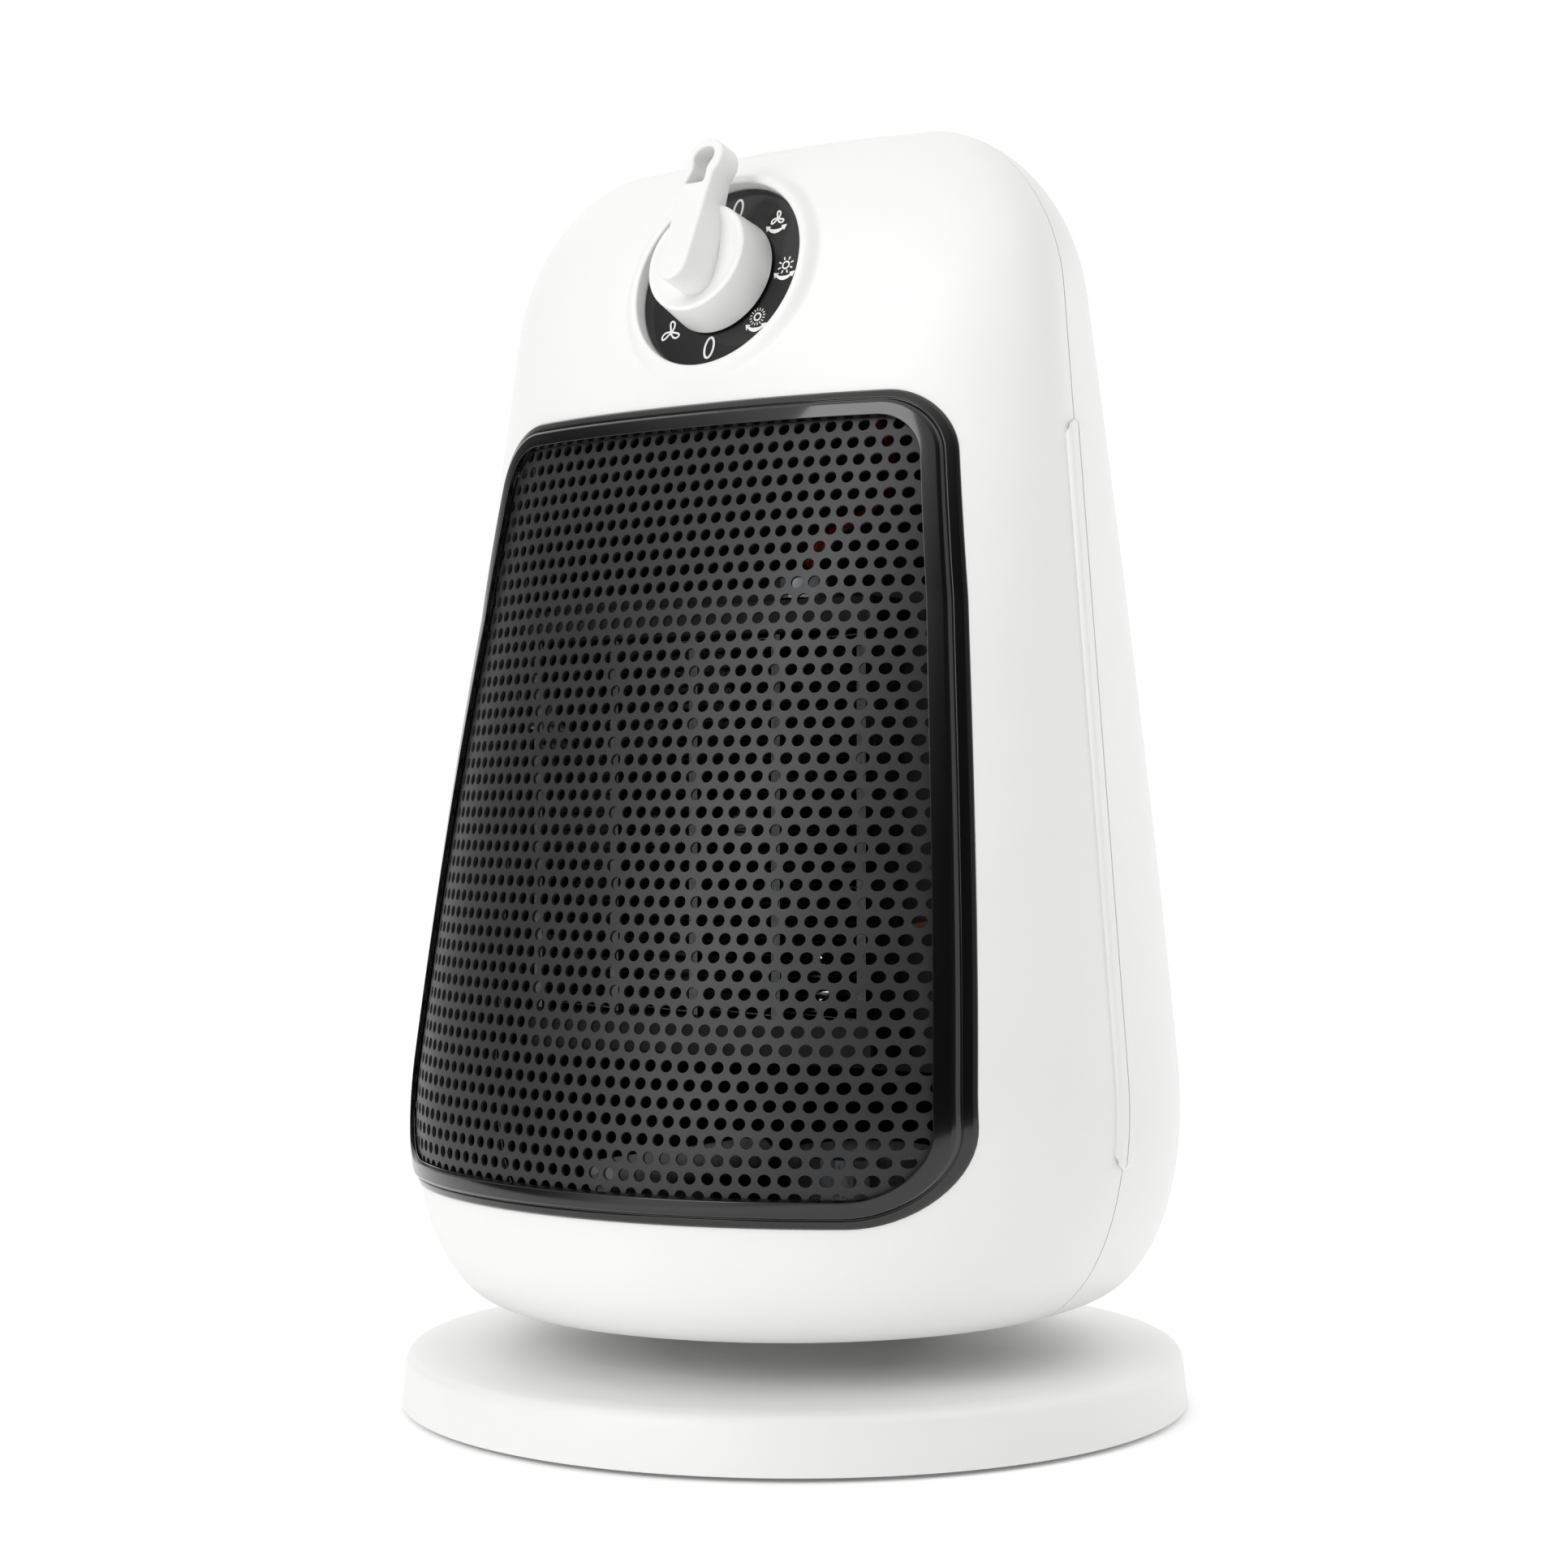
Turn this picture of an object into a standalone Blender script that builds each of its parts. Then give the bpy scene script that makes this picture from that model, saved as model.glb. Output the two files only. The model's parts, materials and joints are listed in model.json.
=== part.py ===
"""Oscillating ceramic fan heater, built from its separate pieces.

Units are metres and +Z is up. The origin is the centre of the footprint on the floor, and the front faces -Y.
The white body swings about Z on a round base; the knob, the fan and the swing pinion turn inside or on it.
"""
import math

import bmesh
import bpy
from mathutils import Matrix, Vector

GAP = 0.0003                # clearance kept between neighbouring pieces
WALL = 0.0023               # moulded wall thickness
ROUND_STEPS = 32            # facets round a large turned piece
SMALL_STEPS = 16            # facets round a screw, wire end or small boss

# Base
BASE_RADIUS = 0.100
BASE_UNDERSIDE = 0.0012
BASE_RIM_TOP = 0.0150
BOSS_RADIUS = 0.030
BOSS_TOP = 0.0240
HUB_RADIUS = 0.0197
HUB_TOP = 0.0359
HUB_BORE = 0.0080
FOOT_RADIUS = 0.0080
FOOT_CIRCLE = 0.078
COVER_SCREW_CIRCLE = 0.055
GEAR_SCREW_CIRCLE = 0.014
GLAND_Z = 0.0073

# Body: depths and widths are measured from the swing axis
SEAM_Y = -0.005
BODY_FLOOR = 0.0270
BODY_TOP = 0.3175
CROWN = 0.0015
NECK_HOLE = 0.0330
WIDTH_LOW, WIDTH_LOW_Z, WIDTH_TAPER = 0.1010, 0.077, 0.088
WIDTH_ROUNDING = 0.036      # how far the sides draw in at the floor and at the top
FRONT_LOW, FRONT_LOW_Z, FRONT_LEAN, FRONT_CURVE = 0.0906, 0.065, 0.17, 0.50
REAR_LOW, REAR_LOW_Z, REAR_LEAN, REAR_CURVE = 0.0815, 0.077, 0.10, 0.50
PANEL_START_Z = 0.225       # the front is straight above this height
# Rounded edges: height where the edge starts, its height, and how far the surface draws in
LOW_EDGE_Z, LOW_EDGE_HEIGHT, REAR_LOW_EDGE = 0.088, 0.061, 0.011
SIDE_TOP_EDGE_Z, SIDE_TOP_EDGE_HEIGHT = 0.2755, 0.042
FRONT_LOW_EDGE_Z, FRONT_LOW_EDGE_HEIGHT, FRONT_LOW_EDGE = 0.078, 0.051, 0.022
FRONT_TOP_EDGE_Z, FRONT_TOP_EDGE_HEIGHT, FRONT_TOP_EDGE = 0.292, 0.0255, 0.014
REAR_TOP_EDGE_Z, REAR_TOP_EDGE_HEIGHT, REAR_TOP_EDGE = 0.2875, 0.030, 0.018
# Superellipse exponents: round low front, squarer control panel, and rear
FRONT_POWER, FRONT_POWER_GAIN, REAR_POWER = 2.0, 0.4, 2.3
POWER_RISE_Z, POWER_RISE_HEIGHT = 0.20, 0.08
BODY_LEVELS = 13
BODY_STEPS = 32

# Front panel outline: a tapered rounded frame seen from the front
FRAME_TOP_Z, FRAME_BOTTOM_Z = 0.2500, 0.0558
FRAME_TOP_HALF, FRAME_BOTTOM_HALF = 0.0692, 0.0880
FRAME_TOP_RADIUS, FRAME_BOTTOM_RADIUS = 0.017, 0.0210
FRAME_BULGE = 0.0024
FRAME_ARC_STEPS = 4
CASING_OPENING = 0.0030     # inset of the opening in the casing from the frame's outline
GRILLE_INSET = 0.0052
GRILLE_THICKNESS = 0.0011
GRILLE_SINK = 0.0001        # how far the sheet lies behind the front surface
# Frame's section, as (inset from its outline, height over the front surface), round once
FRAME_SECTION = [(0.0002, 0.0004), (0.0006, 0.0013), (0.0022, 0.0015), (0.0027, 0.0025), (0.0062, 0.0023),
                 (0.0072, 0.0012), (0.0072, 0.0006), (0.0048, 0.0005), (0.0048, -0.0040), (0.0037, -0.0040),
                 (0.0037, 0.0004)]

# Pads over the seam
PAD_LOW_Z, PAD_HIGH_Z = 0.066, 0.2435
PAD_HALF, PAD_PROUD, PAD_SINK = 0.0029, 0.0013, 0.0012
PAD_END_HALF, PAD_END_PROUD = 0.0018, 0.0006
PAD_LEVELS = 10

# Control panel: a round recess square to the leaning front
DIAL_CENTRE = Vector((0.0, -0.0330, 0.2837))
DIAL_TILT = math.radians(18.25)
DIAL_RADIUS = 0.0248
DIAL_FLOOR = -0.0052
DIAL_PLATE_FRONT = -0.0034
CUP_WALL = 0.0018
CUP_BORE = 0.0075
# Knob, in the dial's own place: across, up along the panel (v) and out of it
GRIP_HALF, GRIP_LOW_V, GRIP_LOW_ROUND, GRIP_WAIST_V = 0.0045, -0.0050, 0.0050, 0.0165
GRIP_LOW, GRIP_HIGH = 0.0048, 0.0180
EYE_RADIUS, EYE_V = 0.0059, 0.0244
EYELET_RADIUS, EYELET_V = 0.0030, 0.0250
EYELET_FOOT_HALF, EYELET_FOOT_V = 0.0026, 0.0180
FACE_MIDDLE, FACE_FALL = 0.0161, 0.0033 / 0.033
ARM_FROM_V, ARM_LOW = 0.0141, 0.0062

# Heater and fan
FAN_Z = 0.146
FAN_RADIUS = 0.0480
SHROUD_RADIUS = 0.0500
SHROUD_PLATE_Y = -0.0260
SHROUD_BACK_Y = 0.0060
HEATER_FRONT_Y, HEATER_BACK_Y = -0.0420, -0.0285
HEATER_HALF_WIDTH = 0.0520
HEATER_BOTTOM_Z, HEATER_TOP_Z = 0.1000, 0.1930
FIN_PACKS = 4
ELEMENT_THICKNESS = 0.0026
FIN_FOLDS = 8
FIN_THICKNESS = 0.0004
RAIL_PROUD = 0.0012         # how far the rails reach past the heater's front and back
BLADES, BLADE_THICKNESS, BLADE_ROOT_RADIUS = 7, 0.0014, 0.0120

# Swing drive
GEAR_TEETH, PINION_TEETH = 48, 14
TOOTH_MODULE = 0.0010
GEAR_CENTRES = (GEAR_TEETH + PINION_TEETH) * TOOTH_MODULE / 2 + GAP
GEAR_LOW, GEAR_HIGH = 0.0362, 0.0412
PLATFORM_LOW, PLATFORM_HIGH = 0.0300, 0.0330
PLATFORM_SCREW_CIRCLE = 0.050
PLATFORM_SCREW_ANGLES = {"front_casing": (210, 330), "rear_casing": (90,)}

# Casing screws: side, upper and lower pairs (x, z)
CASING_SCREWS = [(0.0802, 0.173), (0.042, 0.281), (0.062, 0.052)]
WELL_RADIUS = 0.0037
WELL_WALL = 0.0018
POST_RADIUS = 0.0045
SCREW_RADIUS = 0.0013

# Air inlet in the rear casing: level slots above each other
AIR_SLOTS = 10
AIR_SLOT_LOW, AIR_SLOT_PITCH, AIR_SLOT_HALF, AIR_SLOT_HEIGHT = 0.0970, 0.0110, 0.0440, 0.0040

for scene_object in list(bpy.data.objects):
    bpy.data.objects.remove(scene_object, do_unlink=True)

parts = bpy.data.collections.new("fan_heater")
cutters = bpy.data.collections.new("cutters")
bpy.context.scene.collection.children.link(parts)
bpy.context.scene.collection.children.link(cutters)


# ---------------------------------------------------------------- helpers

def material(name, colour, roughness, metallic=0.0):
    """Principled material with a plain colour."""
    made = bpy.data.materials.new(name)
    made.use_nodes = True
    shader = made.node_tree.nodes["Principled BSDF"]
    shader.inputs["Base Color"].default_value = (*colour, 1.0)
    shader.inputs["Roughness"].default_value = roughness
    shader.inputs["Metallic"].default_value = metallic
    return made


def link_mesh(name, mesh, finish=None):
    """Put a mesh into the parts collection as a named object."""
    made = bpy.data.objects.new(name, mesh)
    parts.objects.link(made)
    if finish is not None:
        dress(made, name, *finish)
    return made


def dress(made, name, colour, roughness, metallic=0.0):
    """Give a piece its own material."""
    made.data.materials.clear()
    made.data.materials.append(material(name, colour, roughness, metallic))


def smooth(made, angle=35):
    """Shade round faces smooth and keep the edges crisp."""
    made.data.shade_smooth()
    made.data.set_sharp_from_angle(angle=math.radians(angle))
    return made


def from_bmesh(name, work, finish=None):
    """Turn a bmesh into an object with its faces pointing out."""
    bmesh.ops.recalc_face_normals(work, faces=work.faces)
    mesh = bpy.data.meshes.new(name)
    work.to_mesh(mesh)
    work.free()
    return link_mesh(name, mesh, finish)


def freeze(made):
    """Replace an object's mesh with its evaluated mesh in world space, and reset its place."""
    bpy.context.view_layer.update()
    graph = bpy.context.evaluated_depsgraph_get()
    mesh = bpy.data.meshes.new_from_object(made.evaluated_get(graph))
    mesh.transform(made.matrix_world)
    work = bmesh.new()
    work.from_mesh(mesh)
    bmesh.ops.remove_doubles(work, verts=work.verts, dist=0.000002)
    work.to_mesh(mesh)
    work.free()
    name = made.name
    bpy.data.objects.remove(made, do_unlink=True)
    return link_mesh(name, mesh)


def boolean(made, tool, operation="DIFFERENCE", solver="EXACT"):
    """Cut, join or intersect with another object, which moves to the cutters and is used up."""
    parts.objects.unlink(tool)
    cutters.objects.link(tool)
    change = made.modifiers.new(operation.lower(), "BOOLEAN")
    change.operation = operation
    change.solver = solver
    change.object = tool
    done = freeze(made)
    bpy.data.objects.remove(tool, do_unlink=True)
    return done


def box(name, low, high, finish=None):
    """Axis-aligned block between two corners."""
    work = bmesh.new()
    size = [high[i] - low[i] for i in range(3)]
    centre = [(high[i] + low[i]) / 2 for i in range(3)]
    bmesh.ops.create_cube(work, size=1.0, matrix=Matrix.Translation(centre) @ Matrix.Diagonal((*size, 1.0)))
    return from_bmesh(name, work, finish)


def soft_box(name, low, high, radius, finish=None):
    """Block with bevelled edges."""
    made = box(name, low, high)
    rounding = made.modifiers.new("rounding", "BEVEL")
    rounding.width = radius
    rounding.segments = 2
    made = freeze(made)
    if finish is not None:
        dress(made, name, *finish)
    return smooth(made)


def turned(name, profile, finish=None, steps=ROUND_STEPS, place=None):
    """Turn a profile of (radius, height) about Z, running down its outer side, then place it."""
    closed = profile[0][0] > 0 or profile[-1][0] > 0
    mesh = bpy.data.meshes.new(name)
    count = len(profile)
    edges = [(i, i + 1) for i in range(count - 1)]
    if closed:
        edges.append((count - 1, 0))
    mesh.from_pydata([(radius, 0.0, height) for radius, height in profile], edges, [])
    made = link_mesh(name, mesh)
    screw = made.modifiers.new("turn", "SCREW")
    screw.axis = "Z"
    screw.steps = steps
    screw.render_steps = steps
    screw.use_merge_vertices = True
    screw.merge_threshold = 0.00001
    if place is not None:
        made.matrix_world = place
    made = freeze(made)
    if finish is not None:
        dress(made, name, *finish)
    return smooth(made)


def rod(name, start, end, radius, steps=SMALL_STEPS, finish=None):
    """Round bar between two points."""
    start, end = Vector(start), Vector(end)
    work = bmesh.new()
    bmesh.ops.create_cone(work, cap_ends=True, segments=steps, radius1=radius, radius2=radius,
                          depth=(end - start).length)
    turn = (end - start).to_track_quat("Z", "Y").to_matrix().to_4x4()
    bmesh.ops.transform(work, matrix=Matrix.Translation((start + end) / 2) @ turn, verts=work.verts)
    return from_bmesh(name, work, finish)


def plate(name, outlines, low, high, finish=None, place=None):
    """Flat plate from a closed outline and the outlines of its holes, between two heights."""
    curve = bpy.data.curves.new(name, "CURVE")
    curve.dimensions = "2D"
    curve.fill_mode = "BOTH"
    curve.extrude = (high - low) / 2
    for outline in outlines:
        spline = curve.splines.new("POLY")
        spline.points.add(len(outline) - 1)
        spline.use_cyclic_u = True
        for point, (x, y) in zip(spline.points, outline):
            point.co = (x, y, 0.0, 1.0)
    made = bpy.data.objects.new(name, curve)
    parts.objects.link(made)
    made.matrix_world = (place or Matrix()) @ Matrix.Translation((0.0, 0.0, (low + high) / 2))
    made = freeze(made)
    if finish is not None:
        dress(made, name, *finish)
    return smooth(made)


def circle(radius, steps, centre=(0.0, 0.0)):
    """Points round a circle."""
    return [(centre[0] + radius * math.cos(2 * math.pi * i / steps),
             centre[1] + radius * math.sin(2 * math.pi * i / steps)) for i in range(steps)]


def rounded_outline(corners, radii, steps):
    """Points of a closed polygon whose corners are replaced with tangent arcs."""
    points = []
    count = len(corners)
    for i, (corner, radius) in enumerate(zip(corners, radii)):
        here = Vector(corner)
        before = (Vector(corners[i - 1]) - here).normalized()
        after = (Vector(corners[(i + 1) % count]) - here).normalized()
        half = before.angle(after) / 2
        centre = here + (before + after).normalized() * radius / math.sin(half)
        start = here + before * radius / math.tan(half) - centre
        end = here + after * radius / math.tan(half) - centre
        sweep = start.angle_signed(end)
        for k in range(steps + 1):
            turn = -sweep * k / steps
            points.append((centre.x + start.x * math.cos(turn) - start.y * math.sin(turn),
                           centre.y + start.x * math.sin(turn) + start.y * math.cos(turn)))
    return points


def tube(name, points, radius, finish):
    """Wire along a smooth curve through its points."""
    curve = bpy.data.curves.new(name, "CURVE")
    curve.dimensions = "3D"
    curve.bevel_depth = radius
    curve.bevel_resolution = 1
    curve.use_fill_caps = True
    path = smooth_path([Vector(p) for p in points], 4)
    spline = curve.splines.new("POLY")
    spline.points.add(len(path) - 1)
    for point, place in zip(spline.points, path):
        point.co = (*place, 1.0)
    made = bpy.data.objects.new(name, curve)
    parts.objects.link(made)
    made = freeze(made)
    dress(made, name, *finish)
    return smooth(made)


def smooth_path(points, pieces):
    """Catmull-Rom points through a route."""
    ends = [points[0] * 2 - points[1], *points, points[-1] * 2 - points[-2]]
    path = []
    for i in range(1, len(ends) - 2):
        a, b, c, d = ends[i - 1:i + 3]
        for k in range(pieces):
            t = k / pieces
            path.append(0.5 * (2 * b + (c - a) * t + (2 * a - 5 * b + 4 * c - d) * t * t
                               + (3 * b - a - 3 * c + d) * t ** 3))
    path.append(points[-1])
    return path


def screw_piece(name, head, direction, length, finish, head_radius=0.0030, head_height=0.0015):
    """Pan-head screw. head is the centre of the head's bearing face, direction is where the shank points."""
    shank = Vector(direction)
    turn = (-shank).to_track_quat("Z", "Y").to_matrix().to_4x4()
    profile = [(0.0, head_height), (head_radius * 0.7, head_height), (head_radius, head_height * 0.5),
               (head_radius, 0.0), (SCREW_RADIUS - GAP, 0.0), (SCREW_RADIUS - GAP, -length),
               (0.0, -length - 0.0008)]
    return turned(name, profile, finish, 8, Matrix.Translation(head) @ turn)


# ---------------------------------------------------------------- body shape

def corner(share):
    """Quarter arc: 0 at share 0, rising ever more steeply to 1 at share 1."""
    share = min(max(share, 0.0), 1.0)
    return 1.0 - math.sqrt(1.0 - share * share)


def half_width(z):
    """Half width of the body at a height."""
    straight = WIDTH_LOW - WIDTH_TAPER * (z - WIDTH_LOW_Z)
    low = corner((LOW_EDGE_Z - z) / LOW_EDGE_HEIGHT)
    high = corner((z - SIDE_TOP_EDGE_Z) / SIDE_TOP_EDGE_HEIGHT)
    return straight - WIDTH_ROUNDING * (low + high)


def front_depth(z):
    """How far the front stands before the swing axis."""
    rise = min(z, PANEL_START_Z) - FRONT_LOW_Z
    depth = FRONT_LOW - FRONT_LEAN * rise - FRONT_CURVE * rise * rise
    depth -= max(z - PANEL_START_Z, 0.0) * math.tan(DIAL_TILT)
    depth -= FRONT_LOW_EDGE * corner((FRONT_LOW_EDGE_Z - z) / FRONT_LOW_EDGE_HEIGHT)
    return depth - FRONT_TOP_EDGE * corner((z - FRONT_TOP_EDGE_Z) / FRONT_TOP_EDGE_HEIGHT)


def rear_depth(z):
    """How far the rear stands behind the swing axis."""
    rise = z - REAR_LOW_Z
    depth = REAR_LOW - REAR_LEAN * rise - REAR_CURVE * rise * rise
    depth -= REAR_LOW_EDGE * corner((LOW_EDGE_Z - z) / LOW_EDGE_HEIGHT)
    return depth - REAR_TOP_EDGE * corner((z - REAR_TOP_EDGE_Z) / REAR_TOP_EDGE_HEIGHT)


def front_power(z):
    """Exponent of the front's superellipse: round below, a little squarer at the control panel."""
    return FRONT_POWER + FRONT_POWER_GAIN * min(max((z - POWER_RISE_Z) / POWER_RISE_HEIGHT, 0.0), 1.0)


def front_y(x, z):
    """Y of the front surface."""
    power = front_power(z)
    share = min(abs(x) / half_width(z), 1.0)
    return SEAM_Y - (front_depth(z) + SEAM_Y) * (1.0 - share ** power) ** (1.0 / power)


def body_ring(z, inset, steps):
    """Closed ring round the body at a height, moved inwards."""
    wide = half_width(z) - inset
    points = []
    for i in range(steps):
        turn = 2 * math.pi * i / steps
        across, along = math.cos(turn), math.sin(turn)
        power = front_power(z) if along < 0 else REAR_POWER
        deep = (front_depth(z) + SEAM_Y if along < 0 else rear_depth(z) - SEAM_Y) - inset
        points.append((wide * math.copysign(abs(across) ** (2 / power), across),
                       SEAM_Y + max(deep, 0.0004) * math.copysign(abs(along) ** (2 / power), along), z))
    return points


def loft(name, rings, first_pole=None, last_pole=None):
    """Closed skin over rings of equal counts, ended with poles, or joined round when there are none."""
    work = bmesh.new()
    rows = [[work.verts.new(point) for point in ring] for ring in rings]
    count = len(rows[0])
    pairs = list(zip(rows, rows[1:]))
    if first_pole is None:
        pairs.append((rows[-1], rows[0]))
    for row, following in pairs:
        for i in range(count):
            k = (i + 1) % count
            work.faces.new((row[i], row[k], following[k], following[i]))
    for pole, row in ((first_pole, rows[0]), (last_pole, rows[-1])):
        if pole is not None:
            tip = work.verts.new(pole)
            for i in range(count):
                work.faces.new((row[i], row[(i + 1) % count], tip))
    return from_bmesh(name, work)


def body_solid(name, inset):
    """The whole body as one closed form, moved inwards."""
    low, high = BODY_FLOOR + inset, BODY_TOP - inset
    shares = [(1 - math.cos(math.pi * i / BODY_LEVELS)) / 2 for i in range(BODY_LEVELS + 1)]
    heights = [low + (high - low) * share for share in shares]
    rings = [body_ring(z, inset, BODY_STEPS) for z in heights]
    return loft(name, rings, (0.0, SEAM_Y, low), (0.0, SEAM_Y, high + CROWN))


def frame_outline(inset, spacing=0.015):
    """Outline (x, z) of the front frame, moved inwards, with points about evenly spaced on its long runs."""
    low, high = FRAME_BOTTOM_Z + inset, FRAME_TOP_Z - inset
    wide_low, wide_high = FRAME_BOTTOM_HALF - inset, FRAME_TOP_HALF - inset
    corners = [(-wide_low, low), (wide_low, low), (wide_high, high), (-wide_high, high)]
    low_radius = max(FRAME_BOTTOM_RADIUS - inset, 0.002)
    high_radius = max(FRAME_TOP_RADIUS - inset, 0.002)
    arcs = rounded_outline(corners, [low_radius, low_radius, high_radius, high_radius], FRAME_ARC_STEPS)
    side = FRAME_TOP_Z - FRAME_BOTTOM_Z
    runs = [2 * FRAME_BOTTOM_HALF, side, 2 * FRAME_TOP_HALF, side]
    points = []
    for i, point in enumerate(arcs):
        points.append(point)
        if i % (FRAME_ARC_STEPS + 1) == FRAME_ARC_STEPS:
            following = arcs[(i + 1) % len(arcs)]
            pieces = round(runs[i // (FRAME_ARC_STEPS + 1)] / spacing)
            for k in range(1, pieces):
                points.append((point[0] + (following[0] - point[0]) * k / pieces,
                               point[1] + (following[1] - point[1]) * k / pieces))
    middle, reach = (low + high) / 2, (high - low) / 2
    bulged = []
    for x, z in points:
        share = abs(x) / FRAME_BOTTOM_HALF
        bulged.append((x + math.copysign(FRAME_BULGE * share * (1 - ((z - middle) / reach) ** 2), x), z))
    return bulged


# Square to the control panel: local +Z points out of it, local +Y up along it
DIAL = Matrix.Translation(DIAL_CENTRE) @ Matrix.Rotation(math.pi / 2 - DIAL_TILT, 4, "X")
# Lays a shape that stands along Z down along the fan's axis, its top towards the front
FAN_AXIS = Matrix.Translation((0.0, 0.0, FAN_Z)) @ Matrix.Rotation(math.pi / 2, 4, "X")

WHITE = ((0.86, 0.86, 0.85), 0.42)
GLOSS_BLACK = ((0.012, 0.012, 0.013), 0.12)
GRILLE_BLACK = ((0.03, 0.03, 0.032), 0.45)
RUBBER = ((0.03, 0.03, 0.03), 0.8)
STEEL = ((0.55, 0.56, 0.57), 0.35, 1.0)
BLACK_NYLON = ((0.03, 0.03, 0.03), 0.5)
IVORY_NYLON = ((0.75, 0.73, 0.66), 0.45)
ALUMINIUM = ((0.80, 0.80, 0.80), 0.35, 1.0)


# ---------------------------------------------------------------- base

def build_base():
    """Round base with its neck, cover, feet, ballast and cord gland."""
    profile = [(HUB_BORE, HUB_TOP), (HUB_RADIUS, HUB_TOP), (HUB_RADIUS, BOSS_TOP),
               (BOSS_RADIUS - 0.001, BOSS_TOP), (BOSS_RADIUS, BOSS_TOP - 0.001),
               (BOSS_RADIUS + 0.001, 0.0190), (BOSS_RADIUS + 0.004, 0.0172)]
    rim = BASE_RADIUS - 0.0015
    profile.append((rim - 0.004, BASE_RIM_TOP))
    for k in range(1, 5):
        turn = math.pi / 2 * k / 4
        profile.append((rim - 0.004 + 0.004 * math.sin(turn), BASE_RIM_TOP - 0.004 + 0.004 * math.cos(turn)))
    profile += [(BASE_RADIUS, BASE_UNDERSIDE), (BASE_RADIUS - WALL, BASE_UNDERSIDE), (rim - WALL, 0.0110),
                (rim - WALL - 0.003, BASE_RIM_TOP - WALL), (BOSS_RADIUS + 0.002, 0.0150),
                (HUB_RADIUS - WALL, 0.0150), (HUB_RADIUS - WALL, HUB_TOP - 0.010), (HUB_BORE, HUB_TOP - 0.010)]
    shell = turned("base_shell", profile, steps=36)
    shell = boolean(shell, rod("gland_hole", (0, 0.090, GLAND_Z), (0, 0.110, GLAND_Z), 0.0042))
    for i in range(3):
        x, y = polar(GEAR_SCREW_CIRCLE, 30 + 120 * i)
        shell = boolean(shell, rod("gear_screw_hole", (x, y, 0.027), (x, y, 0.040), SCREW_RADIUS, 12))
    dress(shell, "base_shell", *WHITE)
    smooth(shell)

    cover = [(0.0, 0.0030), (0.0945, 0.0030), (0.0965, BASE_UNDERSIDE + GAP), (0.0, BASE_UNDERSIDE + GAP)]
    cover = turned("base_bottom_cover", cover)
    for i in range(3):
        x, y = polar(COVER_SCREW_CIRCLE, 90 + 120 * i)
        cover = boolean(cover, rod("cover_screw_hole", (x, y, 0.0), (x, y, 0.005), 0.0035, 12))
        screw_piece(f"cover_screw_{i + 1}", (x, y, 0.0026), (0, 0, 1), 0.0035, STEEL, 0.0030, 0.0010)
    dress(cover, "base_bottom_cover", *BLACK_NYLON)
    smooth(cover)

    for i in range(4):
        x, y = polar(FOOT_CIRCLE, 45 + 90 * i)
        foot = [(0.0, 0.0012), (FOOT_RADIUS, 0.0012), (FOOT_RADIUS - 0.0004, 0.0), (0.0, 0.0)]
        turned(f"rubber_foot_{i + 1}", foot, RUBBER, 20, Matrix.Translation((x, y, 0.0)))

    ballast = [(0.064, 0.0110), (0.086, 0.0110), (0.086, 0.0045), (0.064, 0.0045)]
    turned("base_ballast", ballast, STEEL)

    gland = [(0.0028, 0.0015), (0.0039, 0.0015), (0.0039, -0.0025), (0.0041, -0.0025), (0.0041, -0.0045),
             (0.0028, -0.0045)]
    to_rear = Matrix.Translation((0.0, 0.0975, GLAND_Z)) @ Matrix.Rotation(-math.pi / 2, 4, "X")
    turned("cord_gland", gland, BLACK_NYLON, SMALL_STEPS, to_rear)

    ring = [(0.021, BOSS_TOP + GAP + 0.0012), (0.0285, BOSS_TOP + GAP + 0.0012), (0.0285, BOSS_TOP + GAP),
            (0.021, BOSS_TOP + GAP)]
    turned("swivel_bearing_ring", ring, IVORY_NYLON)


def polar(radius, degrees):
    """Point on a circle about the swing axis."""
    return radius * math.cos(math.radians(degrees)), radius * math.sin(math.radians(degrees))


def gear_outline(teeth, phase):
    """Closed outline of a gear with straight-sided teeth, one tooth centred on the phase angle."""
    pitch_radius = teeth * TOOTH_MODULE / 2
    pitch_angle = 2 * math.pi / teeth
    tip, root = pitch_radius + 0.70 * TOOTH_MODULE, pitch_radius - 1.05 * TOOTH_MODULE
    points = []
    for i in range(teeth):
        middle = phase + i * pitch_angle
        for radius, half in ((root, 0.75), (tip, 0.24), (tip, -0.24), (root, -0.75)):
            turn = middle - half * TOOTH_MODULE / radius
            points.append((radius * math.cos(turn), radius * math.sin(turn)))
    return points


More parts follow.
